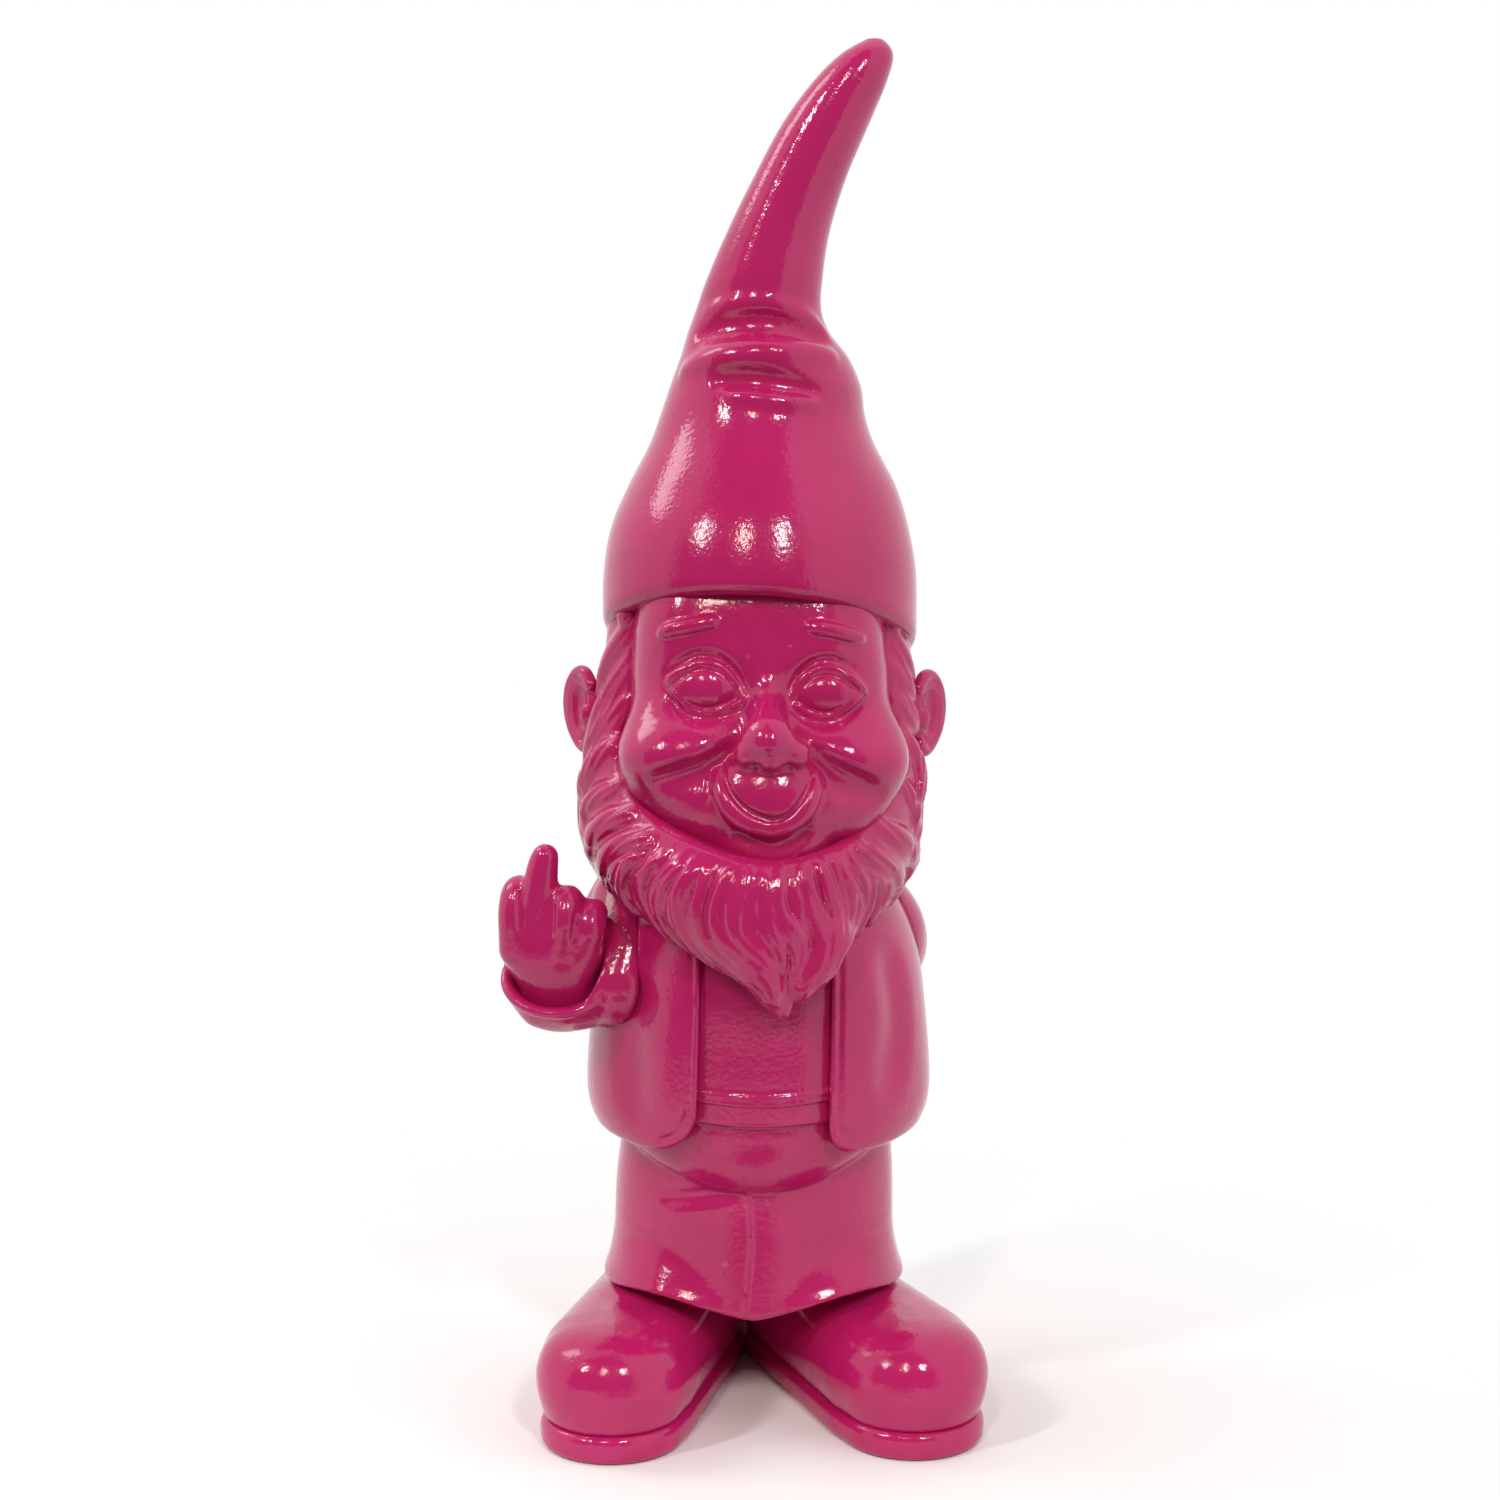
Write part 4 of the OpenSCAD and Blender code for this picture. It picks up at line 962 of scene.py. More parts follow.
@dataclass
class BackHair(SubAssembly):
    """The hair behind the ears, under the brim."""

    step: float = 0.6
    seed: int = 11

    def build(self) -> Pieces:
        """Models the hair.

        Returns:
            Each piece with the CAD node that it stands for.
        """
        clay = Clay((-54, 4, 120), (52, 52, 212), self.step)
        clay.loft(HAIR_FORM, grow=-0.6)
        draw = np.random.default_rng(self.seed)
        clay.settle()
        for x in np.linspace(-44, 41, 26):
            sway = draw.uniform(1.2, 2.6) * (1 if draw.random() < 0.5 else -1)
            top, low = 205 + draw.uniform(-2, 2), 122 + abs(x) * 0.35 + draw.uniform(-3, 3)
            path = tuple((x * (1 - 0.1 * t) + sway * math.sin(5.5 * t), top + (low - top) * t)
                         for t in np.linspace(0, 1, 7))
            clay.stroke(path, 2.3 * draw.uniform(0.8, 1.25), 1.0, Work.ADD, 0.6, Side.BACK, 0.3)
        fit_hair(clay)
        clay.trim(Axis.Y, HAIR_SPLIT, 1)
        clay.soften(1)
        return [(clay.skin("back_hair_locks", 3), "back_hair")]


@dataclass
class Hat(SubAssembly):
    """The tall hat with its rolled brim and the folds in its front."""

    step: float = 0.7
    base: float = 200.1
    height: float = 148.0
    lean: float = 29.0
    rows: tuple = (
        (-0.12, 0.01, 0, 1.005, 1.00, 1.00), (0.00, 0.01, 0, 1.005, 1.00, 1.00),
        (0.10, 0.01, 0, 1.00, 0.97, 0.99), (0.18, 0.01, 0.0238, 0.95, 0.92, 0.93),
        (0.25, 0.03, 0.0476, 0.855, 0.82, 0.82), (0.32, 0.03, 0.0714, 0.72, 0.70, 0.68),
        (0.37, 0.035, 0.0952, 0.655, 0.64, 0.61), (0.42, 0.06, 0.0952, 0.61, 0.60, 0.57),
        (0.47, 0.05, 0.0952, 0.535, 0.55, 0.52), (0.51, 0.00, 0.0952, 0.455, 0.45, 0.46),
        (0.55, 0.00, 0.0952, 0.40, 0.37, 0.42), (0.60, 0.05, 0.0714, 0.37, 0.35, 0.37),
        (0.68, 0.17, 0.0476, 0.327, 0.31, 0.32), (0.77, 0.355, 0.0238, 0.295, 0.28, 0.28),
        (0.86, 0.58, 0, 0.275, 0.26, 0.26), (0.93, 0.79, -0.0238, 0.232, 0.22, 0.22),
        (0.975, 0.935, -0.0238, 0.165, 0.16, 0.16), (1.00, 1.00, -0.0238, 0.05, 0.05, 0.05))

    creases: tuple = (
        (((-14.8, 275.0), (-8.0, 276.6), (0.9, 277.2), (9.2, 276.2), (16.2, 273.8)),
         4.8, 3.0, Work.CUT, 1.4, 0.3),
        (((-13.0, 281.0), (-6.0, 282.4), (1.5, 282.6), (8.1, 281.0), (13.0, 278.4), (17.0, 275.2)),
         2.4, 0.8, Work.ADD, 1.8, 0.3),
        (((-19.0, 265.6), (-13.0, 268.4), (-6.0, 269.8), (2.0, 270.6), (12.0, 270.6), (18.5, 269.6)),
         3.2, 1.6, Work.ADD, 2.4, 0.3),
        (((-10.7, 263.2), (-6.0, 263.4), (0.3, 263.2), (7.4, 262.2), (14.5, 260.6)),
         3.4, 2.6, Work.CUT, 1.4, 0.4),
        (((-6.7, 259.6), (0.3, 258.6), (8.5, 257.6), (14.5, 257.2)), 1.8, 0.9, Work.ADD, 1.4, 0.4))

    def build(self) -> Pieces:
        """Models the hat.

        Returns:
            Each piece with the CAD node that it stands for.
        """
        width = 80.0
        rows = tuple((r[0], r[1] * self.lean / width) + r[2:] for r in self.rows)
        clay = Clay((-44, -46, 184), (48, 50, 351), self.step)
        clay.loft(Loft(rows, self.base, self.height, width, 42, 42))
        for marks, radius, depth, work, blend, taper in self.creases:
            clay.stroke(marks, radius, depth, work, blend, taper=taper)
        clay.press(above_brim(0.0), Work.KEEP, 3.0)
        clay.loft(HEAD_FORM, Work.CUT, 1.5, 0.4)
        clay.soften(1)
        return [(clay.skin("hat_felt", 6), "hat")]


def waist_rise(x: Array) -> Array:
    """Returns how far the waist rises from the middle towards the sides."""
    return 0.0016 * (x - 1) ** 2


@dataclass
class ShirtBody(SubAssembly):
    """The shirt body under the jacket, with the cord of its hem."""

    step: float = 0.52
    hem: tuple = ((-20, 89.0), (-10, 88.2), (1.1, 87.8), (12, 88.2), (22, 89.0))

    def build(self) -> Pieces:
        """Models the shirt.

        Returns:
            Each piece with the CAD node that it stands for.
        """
        clay = Clay((-44, -47, 83), (44, 38, 148), self.step)
        clay.loft(TORSO_FORM)
        for drop, proud in ((0.0, 0.75), (1.75, 0.6)):
            clay.stroke(raised(self.hem, -drop), 0.85, proud, Work.ADD, 0.2, taper=0.02)
        clay.press(lambda x, y, z: 85.4 - z + waist_rise(x), Work.KEEP)
        return [(clay.skin("shirt_body", 2), "torso")]


JACKET_OPENING = ((-14.4, 160), (-14.4, 117), (-15.2, 86), (-15.9, 81.0), (-18.4, 76.6), (-22.5, 73.6),
                  (-29, 71.6), (-42, 71.0), (-42, 55), (42, 55), (42, 71.0), (30, 71.2), (22.4, 72.2),
                  (18.6, 74.8), (17.4, 79), (17.4, 86), (17.8, 117), (17.8, 160))


@dataclass
class Jacket(SubAssembly):
    """The open jacket: one shell around back and sides."""

    step: float = 0.73
    edge: float = 1.6
    piping: tuple = (((-16.7, 146), (-16.7, 117), (-17.4, 88), (-18.1, 82.4), (-20.6, 78.0), (-25, 75.6)),
                     ((20.1, 146), (20.1, 117), (19.7, 88), (19.9, 80.2), (22.2, 76.6)))
    side_folds: tuple = (((-30, 112), (-32, 98), (-31, 84)), ((33, 118), (35, 104), (33, 90)))
    back_folds: tuple = (((-18, 122), (-22, 104), (-20, 84)), ((20, 92), (22, 80), (21, 72)),
                         ((3, 92), (2, 80), (3, 72)))

    def build(self) -> Pieces:
        """Models the jacket.

        Returns:
            Each piece with the CAD node that it stands for.
        """
        clay = Clay((-49, -50, 62), (49, 43, 149), self.step)
        clay.loft(JACKET_FORM)
        clay.trim(Axis.Z, 71.2, 1, 3.0)
        clay.press(prism(JACKET_OPENING), Work.CUT, self.edge, (-60, -60, 50), (60, 4, 150))
        clay.loft(TORSO_FORM, Work.CUT, 0.6, -0.4)
        self.folds(clay)
        clay.soften(1)
        for edge in self.piping:
            clay.stroke(edge, 1.0, 0.8, Work.CUT, 0.4, taper=0.05)
        return [(clay.skin("jacket_shell", 2), "jacket")]

    def folds(self, clay: Clay) -> None:
        """Presses soft folds into sides and back, and a seam down the back.

        Args:
            clay: The block that is worked.
        """
        for path in self.side_folds:
            clay.stroke(path, 9, 0.7, Work.CUT, 5)
        for path in self.back_folds:
            clay.stroke(path, 8, 0.8, Work.CUT, 5, Side.BACK)
        clay.stroke(((0.5, 138), (0.5, 110), (0.5, 90), (0.5, 71)), 0.6, 0.4, Work.CUT, 0.6, Side.BACK, 0.05)


@dataclass
class RightArm(SubAssembly):
    """The raised arm: sleeve with its wide cuff, and the hand with one finger up."""

    step: float = 0.5
    cuff_centre: tuple = (-50.2, -25.5, 114.6)
    cuff_reach: tuple = (13.2, 12.0)
    hand_step: float = 0.4
    fingers: tuple = (
        (((-60.4, -31.0, 123, 4.0), (-60.2, -31.5, 132, 4.4), (-59.4, -29.0, 136.8, 4.4),
          (-58.6, -23.5, 134, 4.2)), 2.6),
        (((-55.4, -31.0, 121, 4.6), (-55.0, -31.6, 130, 4.6), (-54.2, -32.0, 138, 4.4),
          (-53.3, -32.6, 144.0, 3.8), (-52.7, -33.0, 146.4, 3.3)), 1.2),
        (((-48.6, -33.6, 126, 3.6), (-47.8, -34.8, 131, 4.0), (-47.3, -32.4, 135.4, 3.9),
          (-47.2, -27.0, 133, 3.7)), 2.2),
        (((-42.8, -32.2, 124, 3.6), (-41.9, -33.2, 128.5, 3.9), (-41.2, -30.6, 131.8, 3.8),
          (-41.2, -25.5, 130, 3.5)), 2.4),
        (((-60, -22.0, 116, 4.4), (-58, -19.0, 124, 4.4), (-53, -17.8, 130, 4.2),
          (-47, -18.0, 131.5, 3.8)), 1.5))
    clefts: tuple = ((((-59.0, 138), (-58.9, 133), (-58.6, 128)), 0.9, 0.7),
                     (((-50.6, 135), (-50.8, 131), (-51.2, 127)), 0.8, 0.7),
                     (((-44.8, 133), (-45.1, 130), (-45.6, 126)), 0.8, 0.6))

    def build(self) -> Pieces:
        """Models sleeve and hand and returns both."""
        return [(self.sleeve(), "right_sleeve"), (self.hand(), "right_hand")]

    def sleeve(self) -> Piece:
        """Models the bent sleeve, whose cuff is an open bowl around the wrist.

        Returns:
            The piece.
        """
        clay = Clay((-70, -46, 94), (-10, 26, 146), self.step)
        clay.roll(((-30.5, 4, 126.5, 14.4), (-35.5, 2, 119.5, 13.4), (-40.5, -7, 113.4, 12.8),
                   (-46, -16, 113.4, 12.8), (-49.8, -22.5, 114.6, 13.0)), blend=1)
        clay.roll(((-32, -9, 130, 11.0), (-33.0, -17.5, 121.5, 11.0), (-35.5, -22.5, 113.0, 11.0)), blend=4)
        clay.lump((-50.2, -25.0, 114.8), (14.2, 11.8, 12.6), blend=2)
        clay.roll(((-55.2, -26.0, 106.2, 3.6), (-49, -22.5, 105.0, 4.6), (-42, -16, 106.0, 5.6)), blend=3)
        clay.press(self.opening, Work.CUT, 0.8)
        clay.lump((-50.6, -27.0, 119.5), (12.2, 10.6, 12.6), Work.CUT, 1.0)
        clay.hoop(self.cuff_centre, (self.cuff_reach[0], 0, 0),
                  (0, self.cuff_reach[1] * 0.80, self.cuff_reach[1] * 0.60), 1.3, 1.2)
        clay.loft(JACKET_FORM, Work.CUT, 0.4, -0.5)
        clay.soften(1)
        return clay.skin("right_sleeve_cuff", 4)

    def opening(self, x: Array, y: Array, z: Array) -> Array:
        """Measures the distance to what the cuff leaves open: the space above its slanting rim.

        Args:
            x: The places' x.
            y: The places' y.
            z: The places' z.

        Returns:
            The distance, negative inside.
        """
        above = 0.6 * (y - self.cuff_centre[1]) - 0.8 * (z - self.cuff_centre[2])
        ball = 14 * (np.sqrt(((x + 53) / 14.4) ** 2 + ((y + 31) / 15) ** 2 + ((z - 124) / 19) ** 2) - 1)
        return np.maximum(above, ball)

    def hand(self) -> Piece:
        """Models the fist with the raised finger.

        Returns:
            The piece.
        """
        clay = Clay((-68, -44, 100), (-32, -10, 152), self.hand_step)
        clay.lump((-51.0, -27.4, 122.8), (12.8, 9.6, 12.4), blend=3)
        clay.lump((-50.2, -25.0, 112.5), (9.6, 6.8, 9.0), blend=4)
        for finger, blend in self.fingers:
            clay.roll(finger, blend=blend)
        for cleft, radius, depth in self.clefts:
            clay.stroke(cleft, radius, depth, Work.CUT, 0.9)
        clay.soften(1)
        return clay.skin("right_hand_fist", 4)


@dataclass
class LeftArm(SubAssembly):
    """The arm that goes behind the back: sleeve and resting hand."""

    step: float = 0.55
    hand_step: float = 0.45
    creases: tuple = (((40, 122), (36, 112), (38, 102)), ((28, 112), (24, 104), (26, 96)),
                      ((34, 118), (30, 110), (32, 99)))

    def build(self) -> Pieces:
        """Models sleeve and hand and returns both."""
        return [(self.sleeve(), "left_sleeve"), (self.hand(), "left_hand")]

    def sleeve(self) -> Piece:
        """Models the sleeve with its cuff.

        Returns:
            The piece.
        """
        clay = Clay((-4, -12, 84), (52, 51, 146), self.step)
        clay.roll(((26.5, 5, 126, 13.6), (30.8, 10, 120, 13.3), (32.0, 20, 113, 12.6),
                   (27.0, 31.0, 106, 11.6), (15, 36.0, 101.2, 11.0)), blend=1)
        clay.hoop((11.5, 36.4, 100.0), (0, 10.6, 0), (0.8, 0, 10.6), 1.7, 1.4)
        clay.lump((6.0, 36.4, 100.0), (6.5, 8.8, 8.8), Work.CUT, 0.8)
        for path in self.creases:
            clay.stroke(path, 2.6, 0.9, Work.CUT, 2.0, Side.BACK)
        clay.loft(JACKET_FORM, Work.CUT, 0.4, -0.5)
        clay.trim(Axis.Y, 47.4, -1, 2.0)
        clay.soften(1)
        return clay.skin("left_sleeve_cuff", 4)

    def hand(self) -> Piece:
        """Models the hand that lies on the back.

        Returns:
            The piece.
        """
        clay = Clay((-28, 26, 80), (22, 51, 114), self.hand_step)
        clay.lump((-2, 39.8, 98), (12, 6.2, 9.6), blend=3)
        clay.lump((8, 38.6, 99), (8.5, 6.2, 7.2), blend=3)
        for k in range(4):
            z = 104.2 - k * 4.6
            clay.roll(((-7, 41.0, z, 3.2), (-15, 42.4, z - 1.0, 3.1), (-19.5, 40.0, z - 1.4, 2.8),
                       (-18, 37.0, z - 1.2, 2.6)), blend=0.9)
        clay.roll(((3, 41.0, 105, 3.2), (-3, 42.0, 108.4, 3.1), (-9, 41.0, 109.4, 2.7)), blend=1.2)
        clay.loft(JACKET_FORM, Work.CUT, 0.4, -0.4)
        clay.soften(1)
        return clay.skin("left_hand_rest", 4)


LEGS_X = 1.3
SEAM = ((-3.0, 62.6), (-2.1, 54), (-2.0, 45), (-2.7, 37), (-3.6, 27.0))


@dataclass
class Trousers(SubAssembly):
    """The trousers: belly over two legs that touch along a seam, with waistband and hem."""

    step: float = 0.53
    base: float = 29.5
    height: float = 57.5
    belly: tuple = (
        (0.50, -0.0135, 0, 0.66, 0.60, 0.66), (0.54, -0.0135, 0, 0.85, 0.82, 0.88),
        (0.58, -0.0135, 0, 0.95, 0.935, 0.96), (0.63, -0.0068, 0, 0.99, 1.00, 1.00),
        (0.70, -0.0068, 0, 1.00, 1.035, 1.00), (0.80, 0, 0, 1.00, 1.05, 1.00),
        (0.88, 0, 0, 1.00, 1.045, 1.00), (1.00, 0, 0, 1.00, 1.03, 1.00))
    core: tuple = (
        (0.00, -0.0162, 0, 1.05, 0.905, 0.99), (0.08, -0.0162, 0, 1.04, 0.90, 0.99),
        (0.16, -0.0162, 0, 1.01, 0.89, 0.98), (0.28, -0.0162, 0, 0.99, 0.88, 0.97),
        (0.50, -0.0135, 0, 0.98, 0.875, 0.97), (0.72, -0.0068, 0, 0.95, 0.87, 0.95))
    leg: tuple = (
        (0.00, 0, 0, 1.11, 1.045, 1.01), (0.05, 0, 0, 1.085, 1.02, 1.01), (0.10, 0, 0, 1.015, 0.95, 0.98),
        (0.17, 0, 0, 0.93, 0.87, 0.92), (0.28, 0, 0, 0.80, 0.70, 0.80))
    hem: tuple = ((0, 28.2), (6, 29.2), (12, 30.9), (18, 32.7), (24, 33.8), (30, 33.8), (35, 32.4),
                  (42, 29.6))

    def hem_height(self, x: Array) -> Array:
        """Returns the hem's height, which arches over each boot's instep."""
        curve = curve_through(self.hem, 6)
        return np.interp(np.abs(x + LEGS_X), curve[:, 0], curve[:, 1]).astype(np.float32)

    def build(self) -> Pieces:
        """Models the trousers.

        Returns:
            Each piece with the CAD node that it stands for.
        """
        clay = Clay((-46, -46, 25), (46, 36, 92), self.step)
        clay.loft(Loft(self.core, self.base - 2.5, self.height + 2.5, 74, 38, 30, 1.95))
        for side in (-1, 1):
            leg = Loft(self.leg, self.base, self.height, 37, 33, 30, 2.2, place=(side * 18.3 - LEGS_X, 0))
            clay.loft(leg, blend=4)
        self.seam(clay)
        belly = Loft(self.belly, self.base, self.height, 74, 38, 30).distance()
        clay.press(lambda x, y, z: belly(x, y, z - 0.0075 * (x + 1) ** 2), Work.ADD, 0.6)
        band = Loft(((0, 0, 0, 1, 1, 1), (1, 0, 0, 1, 1, 1)), 80.2, 9.0, 76, 41.9, 31).distance()
        clay.press(lambda x, y, z: band(x, y, z - waist_rise(x)), Work.ADD, 0.3)
        clay.press(lambda x, y, z: np.maximum(self.hem_height(x) - z, z - 88.5), Work.KEEP, 1.2)
        clay.soften(1)
        clay.stroke(SEAM, 0.6, 0.5, Work.ADD, 0.25, taper=0.04)
        return [(clay.skin("trousers_cloth", 2), "trousers")]

    def seam(self, clay: Clay) -> None:
        """Draws the fold under the belly and the moulded seam between the legs."""
        clay.stroke(((-5.5, 61.6), (-13.3, 60.0), (-24.0, 57.6)), 2.4, 0.9, Work.CUT, 1.4)
        clay.stroke(SEAM, 0.6, 0.5, Work.CUT, 0.6, Side.BACK, 0.05)


FEET_X = -3.6
PLUG_ALONG = -27.75


@dataclass(frozen=True)
class Foot:
    """Where one foot stands: the heel's place and the outward turn."""

    side: int
    splay: float

    @property
    def turn(self) -> float:
        """The foot's turn about z in degrees."""
        return self.side * self.splay

    def heel(self) -> tuple[float, float]:
        """Returns the heel's place on the ground."""
        return self.side * 22.5 + FEET_X, 13.5

    def place(self, across: float, along: float) -> tuple[float, float]:
        """Finds a place on the foot, from the heel's middle.

        Args:
            across: Distance across the foot.
            along: Distance along it, towards the heel.

        Returns:
            The place's x and y.
        """
        turn = math.radians(self.turn)
        x, y = self.heel()
        return (x + across * math.cos(turn) - along * math.sin(turn),
                y + across * math.sin(turn) + along * math.cos(turn))

    def inner_end(self) -> tuple[float, float]:
        """Finds where the inner edge ends between the heels.

        Returns:
            The distances across and along.
        """
        turn = math.radians(self.turn)
        x, y = self.heel()
        dx, dy = self.side * 2.0 + FEET_X - x, 19.0 - y
        return dx * math.cos(turn) + dy * math.sin(turn), dy * math.cos(turn) - dx * math.sin(turn)

    def outline(self, grow: float) -> Array:
        """Draws the sole's outline: the rounded hull of heel, ball, toe and the inner edge's end.

        Args:
            grow: How far the outline is pushed outwards.

        Returns:
            The outline's x and y.
        """
        circles = np.array(((0.0, 0.0, 17.0), (0.0, -46.0, 19.2), (0.0, -54.0, 18.2),
                            (*self.inner_end(), 2.0)))
        angles = np.linspace(0, 2 * math.pi, 120, endpoint=False)
        ways = np.stack((np.cos(angles), np.sin(angles)), axis=1)
        spots, sizes = circles[:, :2], circles[:, 2] + grow
        best = (ways @ spots.T + sizes).argmax(axis=1)
        local = spots[best] + ways * sizes[best][:, None]
        return np.array([self.place(a, b) for a, b in local])


@dataclass
class Boot(SubAssembly):
    """One boot: the rounded upper and its welted sole."""

    foot: Foot
    name: str
    step: float = 0.55
    sole_h: float = 7.2
    sole_edge: float = 2.6
    upper_base: float = 6.9
    upper_top: float = 28.4
    dome: float = 1.8
    swell: float = 2.3
    tuck: float = 1.2

    def build(self) -> Pieces:
        """Models upper and sole and returns both."""
        return [(self.upper(), self.name + "_boot"), (self.sole(), self.name + "_sole")]

    def block(self, low_z: float, high_z: float) -> Clay:
        """Takes a block of clay around the foot."""
        ring = self.foot.outline(4)
        return Clay((*ring.min(axis=0), low_z), (*ring.max(axis=0), high_z), self.step)

    def around(self, x: Array, y: Array) -> Array:
        """Measures the distance to the sole's outline, which is the same at every height."""
        gap = outline_gap(self.foot.outline(0.0))(x[:, :, 0], y[:, :, 0])
        return gap[:, :, None].astype(np.float32)

    def loaf(self, x: Array, y: Array, z: Array) -> Array:
        """Measures the distance to a loaf that swells a little over the sole's edge.

        Args:
            x: The places' x.
            y: The places' y.
            z: The places' z.

        Returns:
            The distance, negative inside.
        """
        around = self.around(x, y)
        rise = np.clip((z - self.sole_h) / 11, 0, 1)
        swell = self.swell * rise * (2 - rise) - self.tuck
        top = self.upper_top + self.dome * np.clip(-around / 16, 0, 1)
        return soft_max(around - swell, z - top, 12.5)

    def slab(self, x: Array, y: Array, z: Array) -> Array:
        """Measures the distance to the sole's slab."""
        half = self.sole_h / 2
        return soft_max(self.around(x, y), np.abs(z - half) - half, self.sole_edge)

    def upper(self) -> Piece:
        """Models the boot's upper.

        Returns:
            The piece.
        """
        clay = self.block(3, 36)
        clay.press(self.loaf)
        instep = (*self.foot.place(-2.5 * self.foot.side, -19), 20.0)
        clay.lump(instep, (12.0, 20, 14.5), blend=6, turn=(0, 0, self.foot.turn))
        clay.trim(Axis.Z, self.upper_base, 1, 0.8)
        self.bore(clay, 5.3, 4.0, 10.6)
        clay.soften(1)
        return clay.skin(self.name + "_boot_upper", 5)

    def sole(self) -> Piece:
        """Models the sole with its rounded edges and the vent's recess.

        Returns:
            The piece.
        """
        clay = self.block(-3, 10)
        clay.press(self.slab)
        self.bore(clay, 5.0, -2, 9)
        self.bore(clay, 7.9, -2, 2.0)
        return clay.skin(self.name + "_welted_sole", 2)

    def bore(self, clay: Clay, radius: float, low: float, high: float) -> None:
        """Bores room for the plug from one height to another.

        Args:
            clay: The block that is worked.
            radius: Radius of the bore.
            low: The height that it starts at.
            high: The height that it ends at.
        """
        x, y = self.foot.place(0, PLUG_ALONG)
        clay.press(lambda p, q, r: np.maximum(np.sqrt((p - x) ** 2 + (q - y) ** 2) - radius,
                                              np.maximum(low - r, r - high)), Work.CUT, 0.3)


@dataclass
class HeelWeb(SubAssembly):
    """The block that joins the boots between the heels."""

    step: float = 0.5
    half: tuple = (8.0, 4.7, 14.65)
    middle_y: float = 22.2
    edge: float = 1.5

    def build(self) -> Pieces:
        """Models the block, hollowed in front.

        Returns:
            Each piece with the CAD node that it stands for.
        """
        clay = Clay((-16, 10, -3), (10, 32, 33), self.step)
        clay.press(self.block)
        clay.press(lambda x, y, z: np.sqrt((x - FEET_X) ** 2 + (y - 16.0) ** 2) - 4.2, Work.CUT, 1.0)
        clay.soften(1)
        return [(clay.skin("heel_web_block", 3), "heel_web")]

    def block(self, x: Array, y: Array, z: Array) -> Array:
        """Measures the distance to the block.

        Args:
            x: The places' x.
            y: The places' y.
            z: The places' z.

        Returns:
            The distance, negative inside.
        """
        across, along, up = self.half
        sides = soft_max(np.abs(x - FEET_X) - across, np.abs(y - self.middle_y) - along, self.edge)
        return soft_max(sides, np.abs(z - up) - up, self.edge)


@dataclass
class VentPlug(SubAssembly):
    """A soft plug under a sole: a flat head to pull and a ringed shank that seals."""

    foot: Foot
    name: str
    base: float = 0.2
    head_r: float = 7.4
    head_h: float = 1.5
    shank_r: float = 4.85
    rings: tuple = ((2.2, 0.16), (0.5, -0.16), (1.2, 0.0), (0.5, 0.16), (1.2, 0.0), (0.5, -0.16), (1.1, 0.0),
                    (0.8, 0.5))
    underside: tuple = ((1.2, 0.0), (0.4, -0.35), (3.0, 0.0), (0.35, 0.3))
    edge: float = 0.14
    slot = "plug"

    @property
    def body(self) -> str:
        """The plug's own body, which slides out."""
        return self.name + "_plug"

    def build(self) -> Pieces:
        """Models the plug.

        Returns:
            Each piece with the CAD node that it stands for.
        """
        x, y = self.foot.place(0, PLUG_ALONG)
        place = Vector((x + AXIS[0], y + AXIS[1], self.base + self.head_h / 2)) * MM
        bpy.ops.object.select_all(action="DESELECT")
        bpy.ops.mesh.primitive_cylinder_add(vertices=64, radius=self.head_r * MM, depth=self.head_h * MM,
                                            location=place)
        piece = bpy.context.object
        piece.name = piece.data.name = self.name + "_soft_plug"
        bpy.ops.object.transform_apply(location=True, rotation=True, scale=True)
        bpy.ops.object.mode_set(mode="EDIT")
        self.pick(piece, (self.base + self.head_h) * MM)
        bpy.ops.mesh.inset(thickness=(self.head_r - self.shank_r) * MM)
        for rise, inward in self.rings:
            bpy.ops.mesh.extrude_region_move(TRANSFORM_OT_translate={"value": (0, 0, rise * MM)})
            share = 1 - inward / self.shank_r
            bpy.ops.transform.resize(value=(share, share, 1), center_override=(place.x, place.y, 0))
        self.pick(piece, self.base * MM)
        for inward, depth in self.underside:
            bpy.ops.mesh.inset(thickness=inward * MM, depth=depth * MM)
        bpy.ops.object.mode_set(mode="OBJECT")
        choose(piece)
        bevel = piece.modifiers.new("moulded_edge", "BEVEL")
        bevel.width = self.edge * MM
        bevel.segments = 2
        bevel.limit_method = "ANGLE"
        bevel.angle_limit = math.radians(35)
        bpy.ops.object.modifier_apply(modifier=bevel.name)
        bpy.ops.object.shade_smooth_by_angle(angle=math.radians(40))
        return [(piece, self.name + "_plug")]

    def pick(self, piece: Piece, level: float) -> None:
        """Selects only the faces that lie flat at one height.

        Args:
            piece: The plug, in edit mode.
            level: The faces' height in metres.
        """
        bpy.ops.mesh.select_all(action="DESELECT")
        bpy.ops.object.mode_set(mode="OBJECT")
        for face in piece.data.polygons:
            face.select = abs(face.normal.z) > 0.9 and abs(face.center.z - level) < 0.05 * MM
        bpy.ops.object.mode_set(mode="EDIT")
        bpy.ops.mesh.select_mode(type="FACE")


def add_node(tree: Tree, kind: str, links: dict | None = None, **settings: object) -> bpy.types.Node:
    """Adds a node.

    Args:
        tree: The material's or the group's node tree.
        kind: The node's type.
        links: For each input, by name or number, a socket to link or a value to set.
        settings: Properties to set on the node.

    Returns:
        The node.
    """
    node = tree.nodes.new(kind)
    for key, value in settings.items():
        setattr(node, key, value)
    for key, value in (links or {}).items():
        if isinstance(value, Socket):
            tree.links.new(value, node.inputs[key])
        else:
            node.inputs[key].default_value = value
    return node


